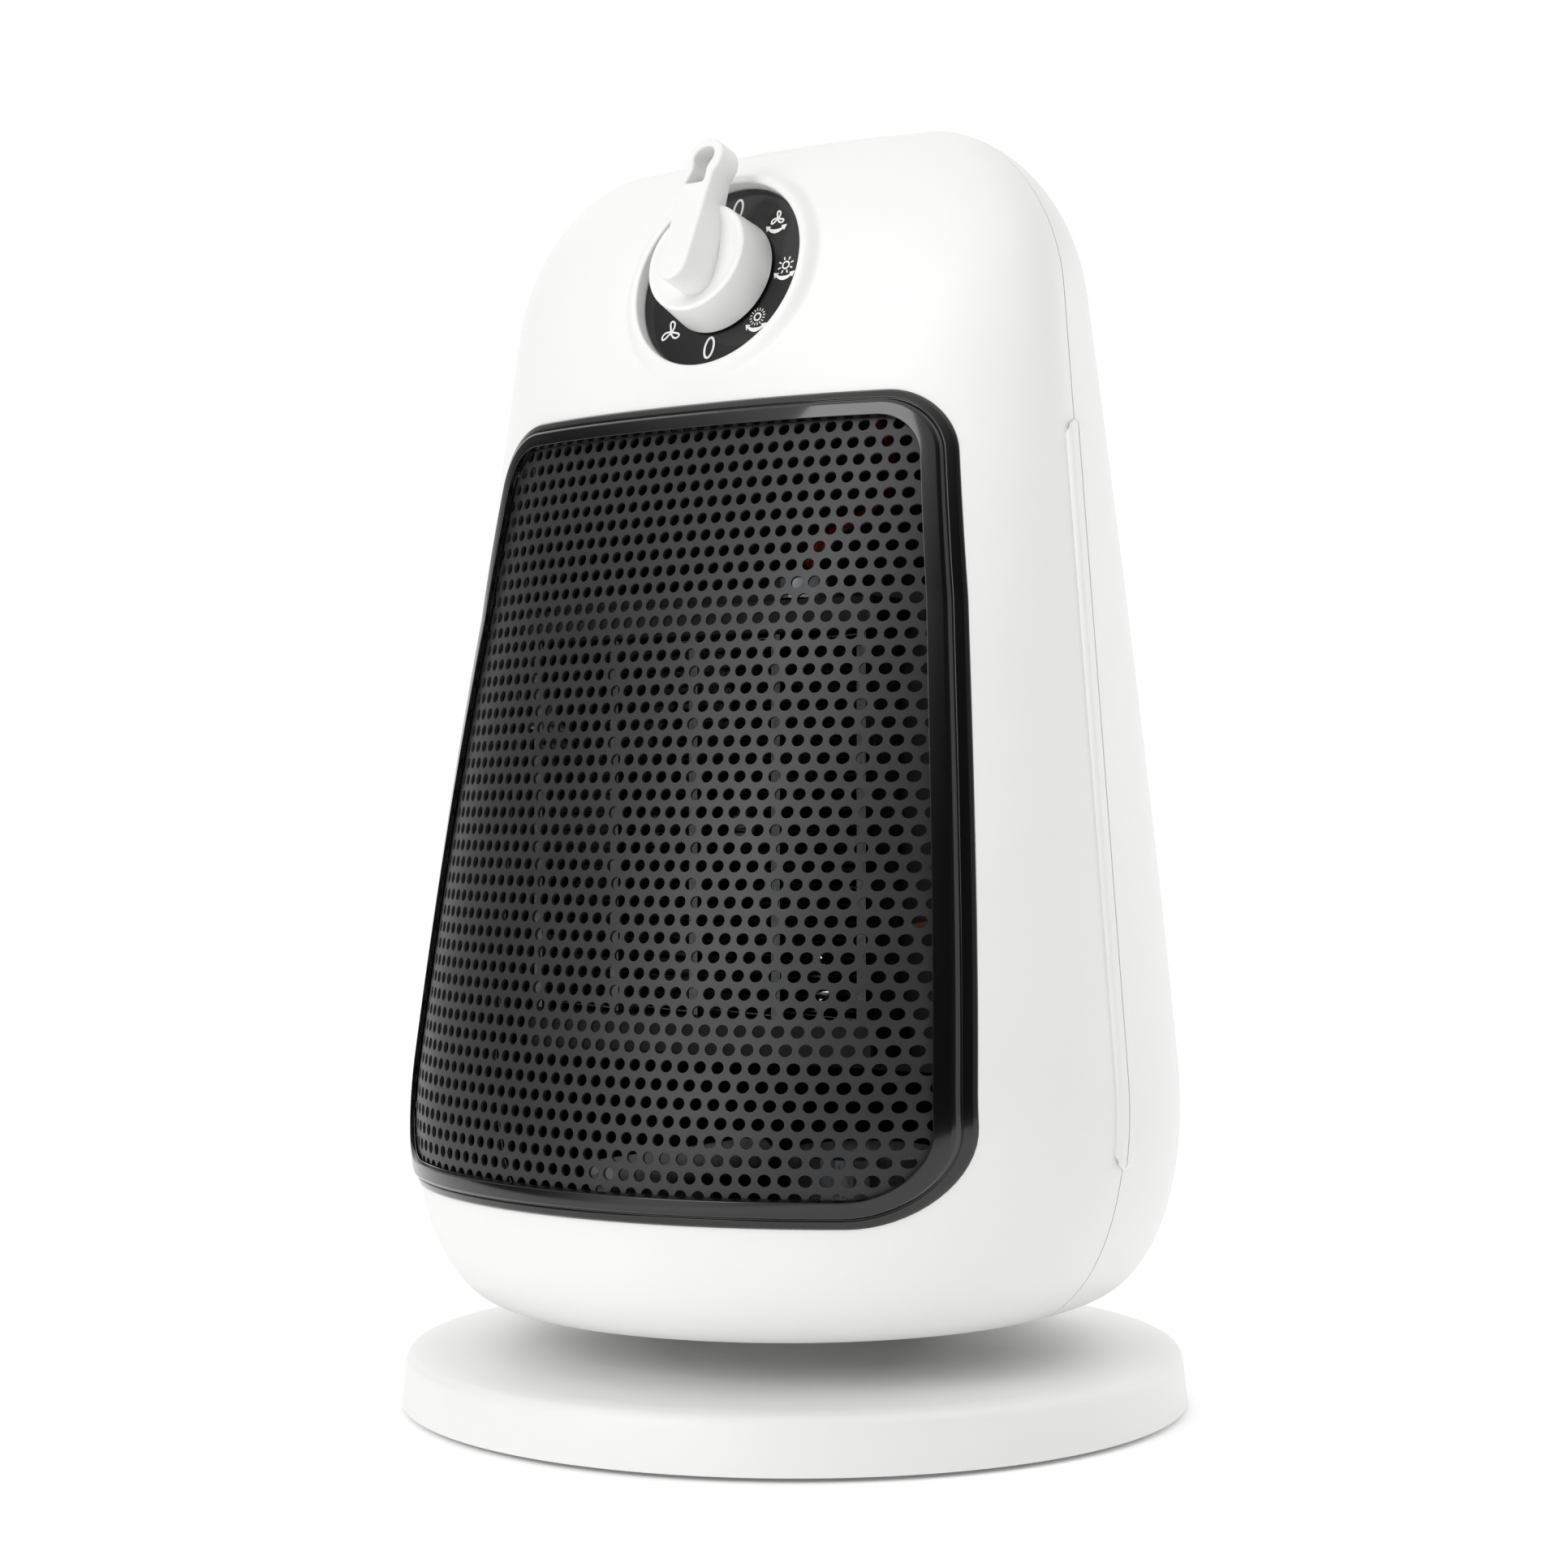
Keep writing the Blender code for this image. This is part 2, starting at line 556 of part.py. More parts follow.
def build_swing_drive():
    """Fixed gear on the base; platform, motor, bracket and pinion that swing with the body."""
    holes = [circle(SCREW_RADIUS, 12, polar(GEAR_SCREW_CIRCLE, 30 + 120 * i)) for i in range(3)]
    outlines = [gear_outline(GEAR_TEETH, math.pi / 2), circle(HUB_BORE, 16), *holes]
    plate("swivel_gear", outlines, GEAR_LOW, GEAR_HIGH, IVORY_NYLON)
    for i in range(3):
        x, y = polar(GEAR_SCREW_CIRCLE, 30 + 120 * i)
        screw_piece(f"gear_screw_{i + 1}", (x, y, GEAR_HIGH + GAP), (0, 0, -1), 0.012, STEEL, 0.0028, 0.0012)

    bore = HUB_RADIUS + GAP
    profile = [(bore, 0.0356), (0.0240, 0.0356), (0.0240, PLATFORM_HIGH), (0.0600, PLATFORM_HIGH),
               (0.0600, PLATFORM_LOW), (0.0290, PLATFORM_LOW), (0.0290, 0.0258), (bore, 0.0258)]
    platform = turned("swivel_platform", profile)
    angles = [angle for group in PLATFORM_SCREW_ANGLES.values() for angle in group]
    for number, angle in enumerate(angles, 1):
        x, y = polar(PLATFORM_SCREW_CIRCLE, angle)
        platform = boolean(platform, rod("platform_hole", (x, y, 0.028), (x, y, 0.036), SCREW_RADIUS, 12))
        head = (x, y, BODY_FLOOR - GAP)
        screw_piece(f"platform_screw_{number}", head, (0, 0, 1), 0.0065, STEEL, 0.0028, 0.0014)
    dress(platform, "swivel_platform", *BLACK_NYLON)
    smooth(platform)

    centre = (0.0, GEAR_CENTRES)
    low, high = 0.0430, 0.0445
    corners = [(-0.031, centre[1] - 0.012), (0.031, centre[1] - 0.012), (0.031, centre[1] + 0.016),
               (-0.031, centre[1] + 0.016)]
    outline = rounded_outline(corners, [0.006] * 4, 3)
    bracket = plate("swing_motor_bracket", [outline, circle(0.004, SMALL_STEPS, centre)], low, high)
    for side in (-1, 1):
        foot = (side * 0.026, centre[1] + 0.010)
        leg = rod("leg", (*foot, PLATFORM_HIGH + GAP), (*foot, high - 0.0005), 0.003)
        bracket = boolean(bracket, leg, "UNION")
    dress(bracket, "swing_motor_bracket", *STEEL)
    smooth(bracket)

    floor = high + GAP
    can = [(0.0023, floor + 0.016), (0.0190, floor + 0.016), (0.0200, floor + 0.015), (0.0200, floor),
           (0.0023, floor)]
    turned("swing_motor", can, STEEL, 28, Matrix.Translation((*centre, 0.0)))

    pinion = plate("swing_pinion", [gear_outline(PINION_TEETH, -math.pi / 2 + math.pi / PINION_TEETH)],
                   GEAR_LOW + GAP, GEAR_HIGH - GAP)
    pinion = boolean(pinion, rod("pinion_shaft", (0, 0, 0.038), (0, 0, floor + 0.010), 0.0020, 12), "UNION")
    pinion.matrix_world = Matrix.Translation((*centre, 0.0))
    dress(pinion, "swing_pinion", *IVORY_NYLON)
    smooth(pinion)


# ---------------------------------------------------------------- casing

def side_pad(name, side):
    """Low rounded pad over the seam on one side."""
    rings = []
    start, end = PAD_LOW_Z, PAD_HIGH_Z
    for i in range(PAD_LEVELS + 1):
        z = start + (end - start) * i / PAD_LEVELS
        half, proud = (PAD_HALF, PAD_PROUD) if 0 < i < PAD_LEVELS else (PAD_END_HALF, PAD_END_PROUD)
        outer, inner = half_width(z) + proud, half_width(z) - PAD_SINK
        rings.append([(side * inner, SEAM_Y - half - 0.0004, z), (side * (outer - 0.0002), SEAM_Y - half, z),
                      (side * outer, SEAM_Y - half * 0.5, z), (side * outer, SEAM_Y + half * 0.5, z),
                      (side * (outer - 0.0002), SEAM_Y + half, z), (side * inner, SEAM_Y + half + 0.0004, z)])
    low_tip = (side * half_width(start), SEAM_Y, start - 0.0003)
    return loft(name, rings, low_tip, (side * half_width(end), SEAM_Y, end + 0.0003))


def shell_boolean(made, tool, operation="DIFFERENCE"):
    """Boolean on the casing's thin closed shells, where the exact solver drops walls."""
    return boolean(made, tool, operation, "MANIFOLD")


def build_casings():
    """Front and rear casing, split at the seam, with the panel recess, posts, wells and air slots."""
    whole = shell_boolean(body_solid("whole_body", 0.0), body_solid("body_hollow", WALL))
    whole = shell_boolean(whole, rod("neck_hole", (0, 0, 0.015), (0, 0, 0.034), NECK_HOLE, ROUND_STEPS))
    for side in (-1, 1):
        whole = shell_boolean(whole, side_pad("pad", side), "UNION")
    halves = {}
    for name, low, high in (("front_casing", SEAM_Y - GAP / 2, 0.2), ("rear_casing", -0.2, SEAM_Y + GAP / 2)):
        half = link_mesh(name, whole.data.copy())
        halves[name] = shell_boolean(half, box("other_half", (-0.2, low, 0.0), (0.2, high, 0.4)))
    bpy.data.objects.remove(whole, do_unlink=True)

    front = halves["front_casing"]
    outline = [(x, -z) for x, z in frame_outline(CASING_OPENING)]
    lay_down = Matrix.Rotation(-math.pi / 2, 4, "X")
    opening = plate("frame_opening", [outline], -0.15, -0.012, place=lay_down)
    front = shell_boolean(front, opening)
    rim = DIAL_RADIUS
    hole = [(0.0, 0.010), (rim + 0.0007, 0.010), (rim + 0.0007, -0.012), (0.0, -0.012)]
    front = shell_boolean(front, turned("dial_hole", hole, place=DIAL))
    cup_back = DIAL_FLOOR - CUP_WALL
    cup = [(CUP_BORE, DIAL_FLOOR), (rim, DIAL_FLOOR), (rim, -0.0004), (rim + 0.0005, 0.0),
           (rim + 0.0014, 0.0), (rim + 0.0026, -0.0009), (rim + 0.0042, -0.0028), (rim + 0.0030, cup_back),
           (CUP_BORE, cup_back)]
    front = shell_boolean(front, turned("dial_cup", cup, place=DIAL), "UNION")

    rear = halves["rear_casing"]
    for x, z in CASING_SCREWS:
        for side in (-1, 1):
            front, rear = add_screw_place(front, rear, side * x, z)
    for i in range(AIR_SLOTS):
        z = AIR_SLOT_LOW + AIR_SLOT_PITCH * i
        low = (-AIR_SLOT_HALF, 0.030, z - AIR_SLOT_HEIGHT / 2)
        high = (AIR_SLOT_HALF, 0.120, z + AIR_SLOT_HEIGHT / 2)
        rear = shell_boolean(rear, box("air_slot", low, high))
    for made in (front, rear):
        name = made.name
        for angle in PLATFORM_SCREW_ANGLES[name]:
            x, y = polar(PLATFORM_SCREW_CIRCLE, angle)
            hole = rod("floor_hole", (x, y, 0.020), (x, y, 0.032), SCREW_RADIUS + GAP, 12)
            made = shell_boolean(made, hole)
        dress(made, name, *WHITE)
        smooth(made)


def add_screw_place(front, rear, x, z):
    """Threaded post in the front casing and a recessed well in the rear casing at one screw."""
    post = rod("post", (x, -0.120, z), (x, SEAM_Y - GAP / 2, z), POST_RADIUS, 8)
    post = shell_boolean(post, body_solid("inside", WALL / 2), "INTERSECT")
    front = shell_boolean(front, post, "UNION")
    front = shell_boolean(front, rod("pilot", (x, SEAM_Y - 0.010, z), (x, 0.005, z), SCREW_RADIUS, 8))
    well = rod("well", (x, SEAM_Y + GAP / 2, z), (x, 0.120, z), WELL_RADIUS + WELL_WALL, 12)
    well = shell_boolean(well, body_solid("inside", WALL / 2), "INTERSECT")
    rear = shell_boolean(rear, well, "UNION")
    rear = shell_boolean(rear, rod("well_bore", (x, SEAM_Y + 0.003, z), (x, 0.120, z), WELL_RADIUS, 12))
    rear = shell_boolean(rear, rod("shank_hole", (x, SEAM_Y - 0.001, z), (x, 0.010, z), SCREW_RADIUS, 8))
    return front, rear


def build_casing_screws():
    """Screws at the floors of the wells."""
    number = 1
    for x, z in CASING_SCREWS:
        for side in (-1, 1):
            head = (side * x, SEAM_Y + 0.003 + GAP, z)
            screw_piece(f"casing_screw_{number}", head, (0, -1, 0), 0.010, STEEL, 0.0032, 0.0015)
            number += 1


def on_front(outline, proud):
    """Lay an outline (x, z) on the front surface, standing out of it."""
    return [(x, front_y(x, z) - proud, z) for x, z in outline]


def build_front_panel():
    """Stepped glossy frame and the curved grille sheet behind it."""
    bezel = loft("front_bezel", [on_front(frame_outline(inset), proud) for inset, proud in FRAME_SECTION])
    dress(bezel, "front_bezel", *GLOSS_BLACK)
    smooth(bezel)

    edge = frame_outline(GRILLE_INSET, 0.025)
    middle = (FRAME_TOP_Z + FRAME_BOTTOM_Z) / 2
    inner = [(x * 0.6, middle + (z - middle) * 0.6) for x, z in edge]
    deep = GRILLE_SINK + GRILLE_THICKNESS
    rings = [on_front(ring, -sink) for ring, sink in ((inner, GRILLE_SINK), (edge, GRILLE_SINK), (edge, deep),
                                                      (inner, deep))]
    tip = front_y(0.0, middle)
    grille = loft("front_grille", rings, (0.0, tip + GRILLE_SINK, middle), (0.0, tip + deep, middle))
    dress(grille, "front_grille", *GRILLE_BLACK)
    smooth(grille)


# ---------------------------------------------------------------- control

def grip_outline():
    """Pointer seen square on: a straight bar with a round lower end and an eyelet at its tip."""
    points = []
    for i in range(9):
        turn = math.pi + math.pi * i / 8
        points.append((GRIP_HALF * math.cos(turn), GRIP_LOW_V + GRIP_LOW_ROUND * math.sin(turn)))
    points.append((GRIP_HALF, GRIP_WAIST_V))
    for i in range(13):
        turn = math.radians(-38 + (180 + 76) * i / 12)
        points.append((EYE_RADIUS * math.cos(turn), EYE_V + EYE_RADIUS * math.sin(turn)))
    points.append((-GRIP_HALF, GRIP_WAIST_V))
    return points


def eyelet_outline():
    """Keyhole-like opening: round above, spreading to a flat foot."""
    arc = [math.radians(angle) for angle in range(-20, 201, 20)]
    points = [(EYELET_RADIUS * math.cos(turn), EYELET_V + EYELET_RADIUS * math.sin(turn)) for turn in arc]
    return [(EYELET_FOOT_HALF, EYELET_FOOT_V), *points, (-EYELET_FOOT_HALF, EYELET_FOOT_V)]


def build_control():
    """Dial plate, rotary switch with its shaft, and the pointer knob."""
    back = DIAL_FLOOR + GAP
    ring = [(0.0080, DIAL_PLATE_FRONT), (DIAL_RADIUS - GAP - 0.0001, DIAL_PLATE_FRONT),
            (DIAL_RADIUS - GAP - 0.0001, back), (0.0080, back)]
    turned("dial_plate", ring, GLOSS_BLACK, place=DIAL)

    front = DIAL_FLOOR - CUP_WALL - GAP
    switch = [(0.0033, front), (0.0150, front), (0.0160, front - 0.001), (0.0160, front - 0.014),
              (0.0033, front - 0.014)]
    turned("rotary_switch", switch, BLACK_NYLON, 28, DIAL)
    shaft = [(0.0, 0.0036), (0.0030, 0.0036), (0.0030, front - 0.012), (0.0, front - 0.012)]
    turned("switch_shaft", shaft, STEEL, SMALL_STEPS, DIAL)

    skirt = [(0.0, 0.0056), (0.0060, 0.0058), (0.0100, 0.0066), (0.0130, 0.0084), (0.0138, 0.0087),
             (0.0144, 0.0081), (0.0152, -0.0029), (0.0033, -0.0029), (0.0033, 0.0040), (0.0, 0.0040)]
    knob = turned("control_knob", skirt)
    grip = plate("grip", [grip_outline(), eyelet_outline()], GRIP_LOW, GRIP_HIGH)
    # The grip's face falls from 17 mm at its lower end to 13.7 mm at the eyelet
    face = box("face_cut", (-0.02, -0.06, 0.0), (0.02, 0.06, 0.02))
    lean = Matrix.Rotation(-math.atan(FACE_FALL), 4, "X")
    face.matrix_world = Matrix.Translation((0.0, 0.0, FACE_MIDDLE)) @ lean
    grip = boolean(grip, freeze(face))
    under = box("under_cut", (-0.02, ARM_FROM_V, -0.01), (0.02, 0.06, ARM_LOW))
    grip = boolean(grip, under)
    knob = boolean(knob, grip, "UNION")
    knob.matrix_world = DIAL
    dress(knob, "control_knob", *WHITE)
    smooth(knob)


# ---------------------------------------------------------------- heater and fan

def thicken(path, thickness):
    """Closed outline of a strip of even thickness along an open path."""
    near, far = [], []
    for i, point in enumerate(path):
        into = (point - path[i - 1]).normalized() if i > 0 else (path[1] - point).normalized()
        onward = (path[i + 1] - point).normalized() if i + 1 < len(path) else into
        left_in, left_on = Vector((-into.y, into.x)), Vector((-onward.y, onward.x))
        offset = (left_in + left_on) * (thickness / 2 / (1.0 + left_in.dot(left_on)))
        near.append(point - offset)
        far.append(point + offset)
    return [*near, *reversed(far)]


def fin_outline(left, right):
    """Closed outline of one strip folded back and forth between two sides, climbing the heater's height."""
    low, high = HEATER_BOTTOM_Z + 0.001, HEATER_TOP_Z - 0.001
    rise = (high - low) / (2 * FIN_FOLDS)
    path = []
    for i in range(2 * FIN_FOLDS + 1):
        ends = (left, right) if i % 2 == 0 else (right, left)
        path += [Vector((x, low + rise * i)) for x in ends]
    return thicken(path, FIN_THICKNESS)


def build_heater():
    """Folded fin packs between ceramic element strips, held by two rails, with a thermal cut-out."""
    front, back = HEATER_FRONT_Y, HEATER_BACK_Y
    for name, low, high in (("heater_rail_bottom", HEATER_BOTTOM_Z - 0.010, HEATER_BOTTOM_Z),
                            ("heater_rail_top", HEATER_TOP_Z, HEATER_TOP_Z + 0.008)):
        half = HEATER_HALF_WIDTH + 0.002
        soft_box(name, (-half, front - RAIL_PROUD, low), (half, back + RAIL_PROUD, high), 0.0010, BLACK_NYLON)
    lay_down = Matrix.Rotation(-math.pi / 2, 4, "X")
    strips = FIN_PACKS + 1
    pack_width = (2 * HEATER_HALF_WIDTH - strips * (ELEMENT_THICKNESS + 2 * GAP)) / FIN_PACKS
    left = -HEATER_HALF_WIDTH
    for i in range(strips):
        strip_left = left + GAP
        box(f"heater_element_{i + 1}", (strip_left, front, HEATER_BOTTOM_Z + GAP),
            (strip_left + ELEMENT_THICKNESS, back, HEATER_TOP_Z - GAP), ALUMINIUM)
        left = strip_left + ELEMENT_THICKNESS + GAP
        if i < FIN_PACKS:
            fins = fin_outline(left + FIN_THICKNESS, left + pack_width - FIN_THICKNESS)
            outline = [(x, -z) for x, z in fins]
            plate(f"heater_fin_pack_{i + 1}", [outline], front + 0.0008, back - 0.0008, ALUMINIUM, lay_down)
            left += pack_width
    cutout = [(0.0, 0.0060), (0.0070, 0.0060), (0.0080, 0.0045), (0.0080, 0.0), (0.0, 0.0)]
    turned("thermal_cutout", cutout, STEEL, 20,
           Matrix.Translation((0.030, (front + back) / 2, HEATER_TOP_Z + 0.008 + GAP)))


def blade(name, turn):
    """Twisted fan blade from the hub to the tip."""
    work = bmesh.new()
    rows = []
    for i in range(5):
        share = i / 4
        radius = BLADE_ROOT_RADIUS + (FAN_RADIUS - BLADE_ROOT_RADIUS) * share
        pitch = math.radians(44 - 18 * share)
        chord = 0.019 + 0.012 * share
        row = []
        for along, thick in ((-0.5, -0.5), (0.5, -0.5), (0.5, 0.5), (-0.5, 0.5)):
            side = along * chord * math.cos(pitch) - thick * BLADE_THICKNESS * math.sin(pitch)
            height = along * chord * math.sin(pitch) + thick * BLADE_THICKNESS * math.cos(pitch)
            angle = turn + side / radius * (1.0 if share > 0.2 else 0.75)
            place = (radius * math.cos(angle), radius * math.sin(angle), 0.009 + height * 0.72)
            row.append(work.verts.new(place))
        rows.append(row)
    for row, following in zip(rows, rows[1:]):
        for k in range(4):
            work.faces.new((row[k], row[(k + 1) % 4], following[(k + 1) % 4], following[k]))
    work.faces.new(rows[0])
    work.faces.new(rows[-1])
    return from_bmesh(name, work)


def build_fan():
    """Shroud, motor on its bracket, and the impeller on the motor shaft. Local +Z is towards the front."""
    half, low, high = 0.060, FAN_Z - 0.058, FAN_Z + 0.058
    shroud = box("fan_shroud", (-half, SHROUD_PLATE_Y, low), (half, SHROUD_PLATE_Y + 0.0020, high))
    ring = [(SHROUD_RADIUS, -SHROUD_PLATE_Y - 0.0005), (SHROUD_RADIUS + 0.002, -SHROUD_PLATE_Y - 0.0005),
            (SHROUD_RADIUS + 0.002, -SHROUD_BACK_Y), (SHROUD_RADIUS, -SHROUD_BACK_Y)]
    shroud = boolean(shroud, turned("duct", ring, place=FAN_AXIS), "UNION")
    shroud = boolean(shroud, rod("mouth", (0, -0.05, FAN_Z), (0, 0.02, FAN_Z), SHROUD_RADIUS, ROUND_STEPS))
    dress(shroud, "fan_shroud", *BLACK_NYLON)
    smooth(shroud)

    back = -SHROUD_BACK_Y - GAP
    arm_low = back - 0.0025
    bracket = turned("motor_bracket", [(0.0203, back), (0.0240, back), (0.0240, arm_low - 0.006),
                                       (0.0203, arm_low - 0.006)], steps=28)
    for i in range(3):
        arm = box("arm", (0.0220, -0.0035, arm_low), (0.0520, 0.0035, back))
        arm.matrix_world = Matrix.Rotation(math.radians(90 + 120 * i), 4, "Z")
        bracket = boolean(bracket, freeze(arm), "UNION")
    bracket.matrix_world = FAN_AXIS
    dress(bracket, "motor_bracket", *STEEL)
    smooth(bracket)

    can = [(0.0023, back - 0.0010), (0.0060, back - 0.0010), (0.0180, back - 0.0020), (0.0200, back - 0.004),
           (0.0200, back - 0.028), (0.0180, back - 0.030), (0.0023, back - 0.030)]
    turned("fan_motor", can, STEEL, 28, FAN_AXIS)

    hub = [(0.0023, 0.0180), (0.0100, 0.0180), (0.0135, 0.0150), (0.0140, 0.0), (0.0023, 0.0)]
    impeller = turned("fan_impeller", hub, steps=28)
    for i in range(BLADES):
        impeller = boolean(impeller, blade("blade", 2 * math.pi * i / BLADES), "UNION")
    impeller.matrix_world = FAN_AXIS
    dress(impeller, "fan_impeller", *BLACK_NYLON)
    smooth(impeller)
    shaft = [(0.0, 0.0225), (0.0020, 0.0225), (0.0020, back - 0.029), (0.0, back - 0.029)]
    turned("motor_shaft", shaft, STEEL, SMALL_STEPS, FAN_AXIS)
    nut = [(0.0023, 0.0220), (0.0040, 0.0220), (0.0050, 0.0205), (0.0050, 0.0183), (0.0023, 0.0183)]
    turned("impeller_nut", nut, STEEL, 18, FAN_AXIS)


def build_electrics():
    """Sealed tip-over switch, terminal block and the wires between them, the switch and the heater."""
    floor = PLATFORM_HIGH + GAP
    soft_box("tip_over_switch", (-0.050, -0.010, floor), (-0.030, 0.006, floor + 0.017), 0.0015, BLACK_NYLON)
    soft_box("terminal_block", (0.034, 0.012, floor), (0.053, 0.032, floor + 0.012), 0.0012, IVORY_NYLON)
    top = floor + 0.012 + GAP
    red = ((0.35, 0.03, 0.02), 0.45)
    blue = ((0.03, 0.08, 0.30), 0.45)
    brown = ((0.16, 0.07, 0.03), 0.45)
    tube("wire_switch_to_heater", [(0.006, -0.0125, 0.2705), (0.010, 0.004, 0.262), (0.024, 0.010, 0.242),
                                   (0.032, -0.010, 0.226), (0.031, -0.028, 0.217), (0.030, -0.035, 0.2095)],
         0.0011, red)
    mains_route = [(0.050, 0.022, top + 0.0002), (0.052, 0.022, 0.066), (0.064, 0.012, 0.095),
                   (0.070, -0.008, 0.118), (0.068, -0.025, 0.124), (0.056, -0.035, 0.122)]
    tube("wire_mains_feed", mains_route, 0.0011, brown)
    motor_route = [(0.010, 0.0372, 0.146), (0.012, 0.047, 0.138), (0.024, 0.048, 0.110), (0.036, 0.036, 0.075),
                   (0.040, 0.022, top + 0.0002)]
    tube("wire_motor", motor_route, 0.0011, blue)


build_base()
build_swing_drive()
build_casings()
build_casing_screws()
build_front_panel()
build_control()
build_heater()
build_fan()
build_electrics()
bpy.context.view_layer.update()
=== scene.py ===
"""Looks of an oscillating ceramic fan heater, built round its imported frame.

Units are metres, +Z is up and the front faces -Y. Every new piece is made in the frame's own place, rides on
one of its bodies and takes the place of the plain solids that it stands for.
"""
from __future__ import annotations

import json
import logging
import math
from collections.abc import Callable, Iterable, Sequence
from dataclasses import dataclass, field
from enum import Enum
from typing import Protocol

import bmesh
import bpy
from mathutils import Matrix, Vector

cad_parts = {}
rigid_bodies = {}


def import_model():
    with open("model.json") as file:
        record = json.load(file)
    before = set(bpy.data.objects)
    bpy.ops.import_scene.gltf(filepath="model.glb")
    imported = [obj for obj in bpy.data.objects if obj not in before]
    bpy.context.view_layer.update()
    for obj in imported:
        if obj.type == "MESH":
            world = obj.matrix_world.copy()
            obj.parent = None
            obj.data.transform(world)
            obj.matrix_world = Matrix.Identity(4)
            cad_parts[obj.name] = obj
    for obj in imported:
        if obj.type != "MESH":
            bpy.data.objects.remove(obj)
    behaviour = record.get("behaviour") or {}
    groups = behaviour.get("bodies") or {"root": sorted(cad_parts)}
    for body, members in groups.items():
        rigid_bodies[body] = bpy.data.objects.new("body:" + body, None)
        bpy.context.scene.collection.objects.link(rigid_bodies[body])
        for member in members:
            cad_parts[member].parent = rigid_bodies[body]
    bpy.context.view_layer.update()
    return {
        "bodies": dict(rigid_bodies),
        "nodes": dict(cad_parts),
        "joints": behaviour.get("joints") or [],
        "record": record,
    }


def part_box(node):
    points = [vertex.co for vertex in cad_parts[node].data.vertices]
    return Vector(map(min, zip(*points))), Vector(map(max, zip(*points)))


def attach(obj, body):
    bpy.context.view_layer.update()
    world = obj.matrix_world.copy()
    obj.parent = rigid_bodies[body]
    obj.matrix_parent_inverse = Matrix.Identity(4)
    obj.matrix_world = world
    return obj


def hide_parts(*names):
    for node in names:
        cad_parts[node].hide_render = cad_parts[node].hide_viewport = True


log = logging.getLogger("fan_heater")

MM = 0.001
Point2 = tuple[float, float]
Mark = tuple[list[tuple[float, float, float]], bool]


class Body(str, Enum):
    """Bodies of the frame that pieces ride on."""

    BASE = "base"
    HOUSING = "housing"
    KNOB = "knob"
    FAN = "fan"


class Half(Enum):
    """Which half of the casing, as the sign of its y."""

    FRONT = -1
    REAR = 1


# ---------------------------------------------------------------- finishes

def linear(colour: str) -> tuple[float, float, float, float]:
    """Turn an sRGB hex colour into linear RGBA.

    Args:
        colour: Six hex digits, such as "f2f2f0".

    Returns:
        The linear colour with an alpha of one.
    """
    parts = [int(colour[i:i + 2], 16) / 255 for i in (0, 2, 4)]
    return (*(c / 12.92 if c <= 0.04045 else ((c + 0.055) / 1.055) ** 2.4 for c in parts), 1.0)


def add_node(tree: bpy.types.NodeTree, kind: str, sockets: dict[str | int, object] | None = None,
             **settings: object) -> bpy.types.Node:
    """Add a node, set its settings and either set or link its sockets.

    Args:
        tree: The node tree that gets the node.
        kind: The node's type name.
        sockets: Input name or number to a value, or to an output that feeds it.
        **settings: The node's own properties.

    Returns:
        The new node.
    """
    node = tree.nodes.new(kind)
    for name, value in settings.items():
        setattr(node, name, value)
    for name, value in (sockets or {}).items():
        if isinstance(value, bpy.types.NodeSocket):
            tree.links.new(value, node.inputs[name])
        else:
            node.inputs[name].default_value = value
    return node


def blank_material(name: str) -> tuple[bpy.types.Material, bpy.types.NodeTree]:
    """Make a material with an empty node tree.

    Args:
        name: The material's name.

    Returns:
        The material and its tree.
    """
    made = bpy.data.materials.new(name)
    made.use_nodes = True
    made.node_tree.nodes.clear()
    return made, made.node_tree


def per_mm(size_mm: float) -> float:
    """Scale of a noise whose features are this many millimetres wide, on coordinates in metres."""
    return 1000.0 / size_mm


class Finish(Protocol):
    """Anything that can make its material."""

    name: str

    def make(self) -> bpy.types.Material:
        """Build the material."""


def coat_surface(tree: bpy.types.NodeTree, finish: MouldedPlastic | BareMetal, pattern: bpy.types.NodeSocket,
                 height: bpy.types.NodeSocket, sockets: dict[str | int, object]) -> None:
    """Lead a pattern into the colour and the polish, and a height into the relief, of one shader.

    Args:
        tree: The material's tree.
        finish: Gives the two colours, the range of roughness and the relief's depth.
        pattern: Output that varies the colour and the polish.
        height: Output that raises the relief.
        sockets: The shader's own further values.
    """
    colours = {0: pattern, 6: linear(finish.deep_colour), 7: linear(finish.colour)}
    tint = add_node(tree, "ShaderNodeMix", colours, data_type="RGBA")
    rough_low, rough_high = finish.roughness
    polish = add_node(tree, "ShaderNodeMapRange", {"Value": pattern, "From Min": 0.3, "From Max": 0.7,
                                                   "To Min": rough_low, "To Max": rough_high})
    relief = add_node(tree, "ShaderNodeBump", {"Height": height, "Strength": 1.0,
                                               "Distance": finish.relief_mm * MM})
    shader = add_node(tree, "ShaderNodeBsdfPrincipled",
                      {"Base Color": tint.outputs[2], "Roughness": polish.outputs["Result"],
                       "Normal": relief.outputs["Normal"], **sockets})
    add_node(tree, "ShaderNodeOutputMaterial", {"Surface": shader.outputs["BSDF"]})


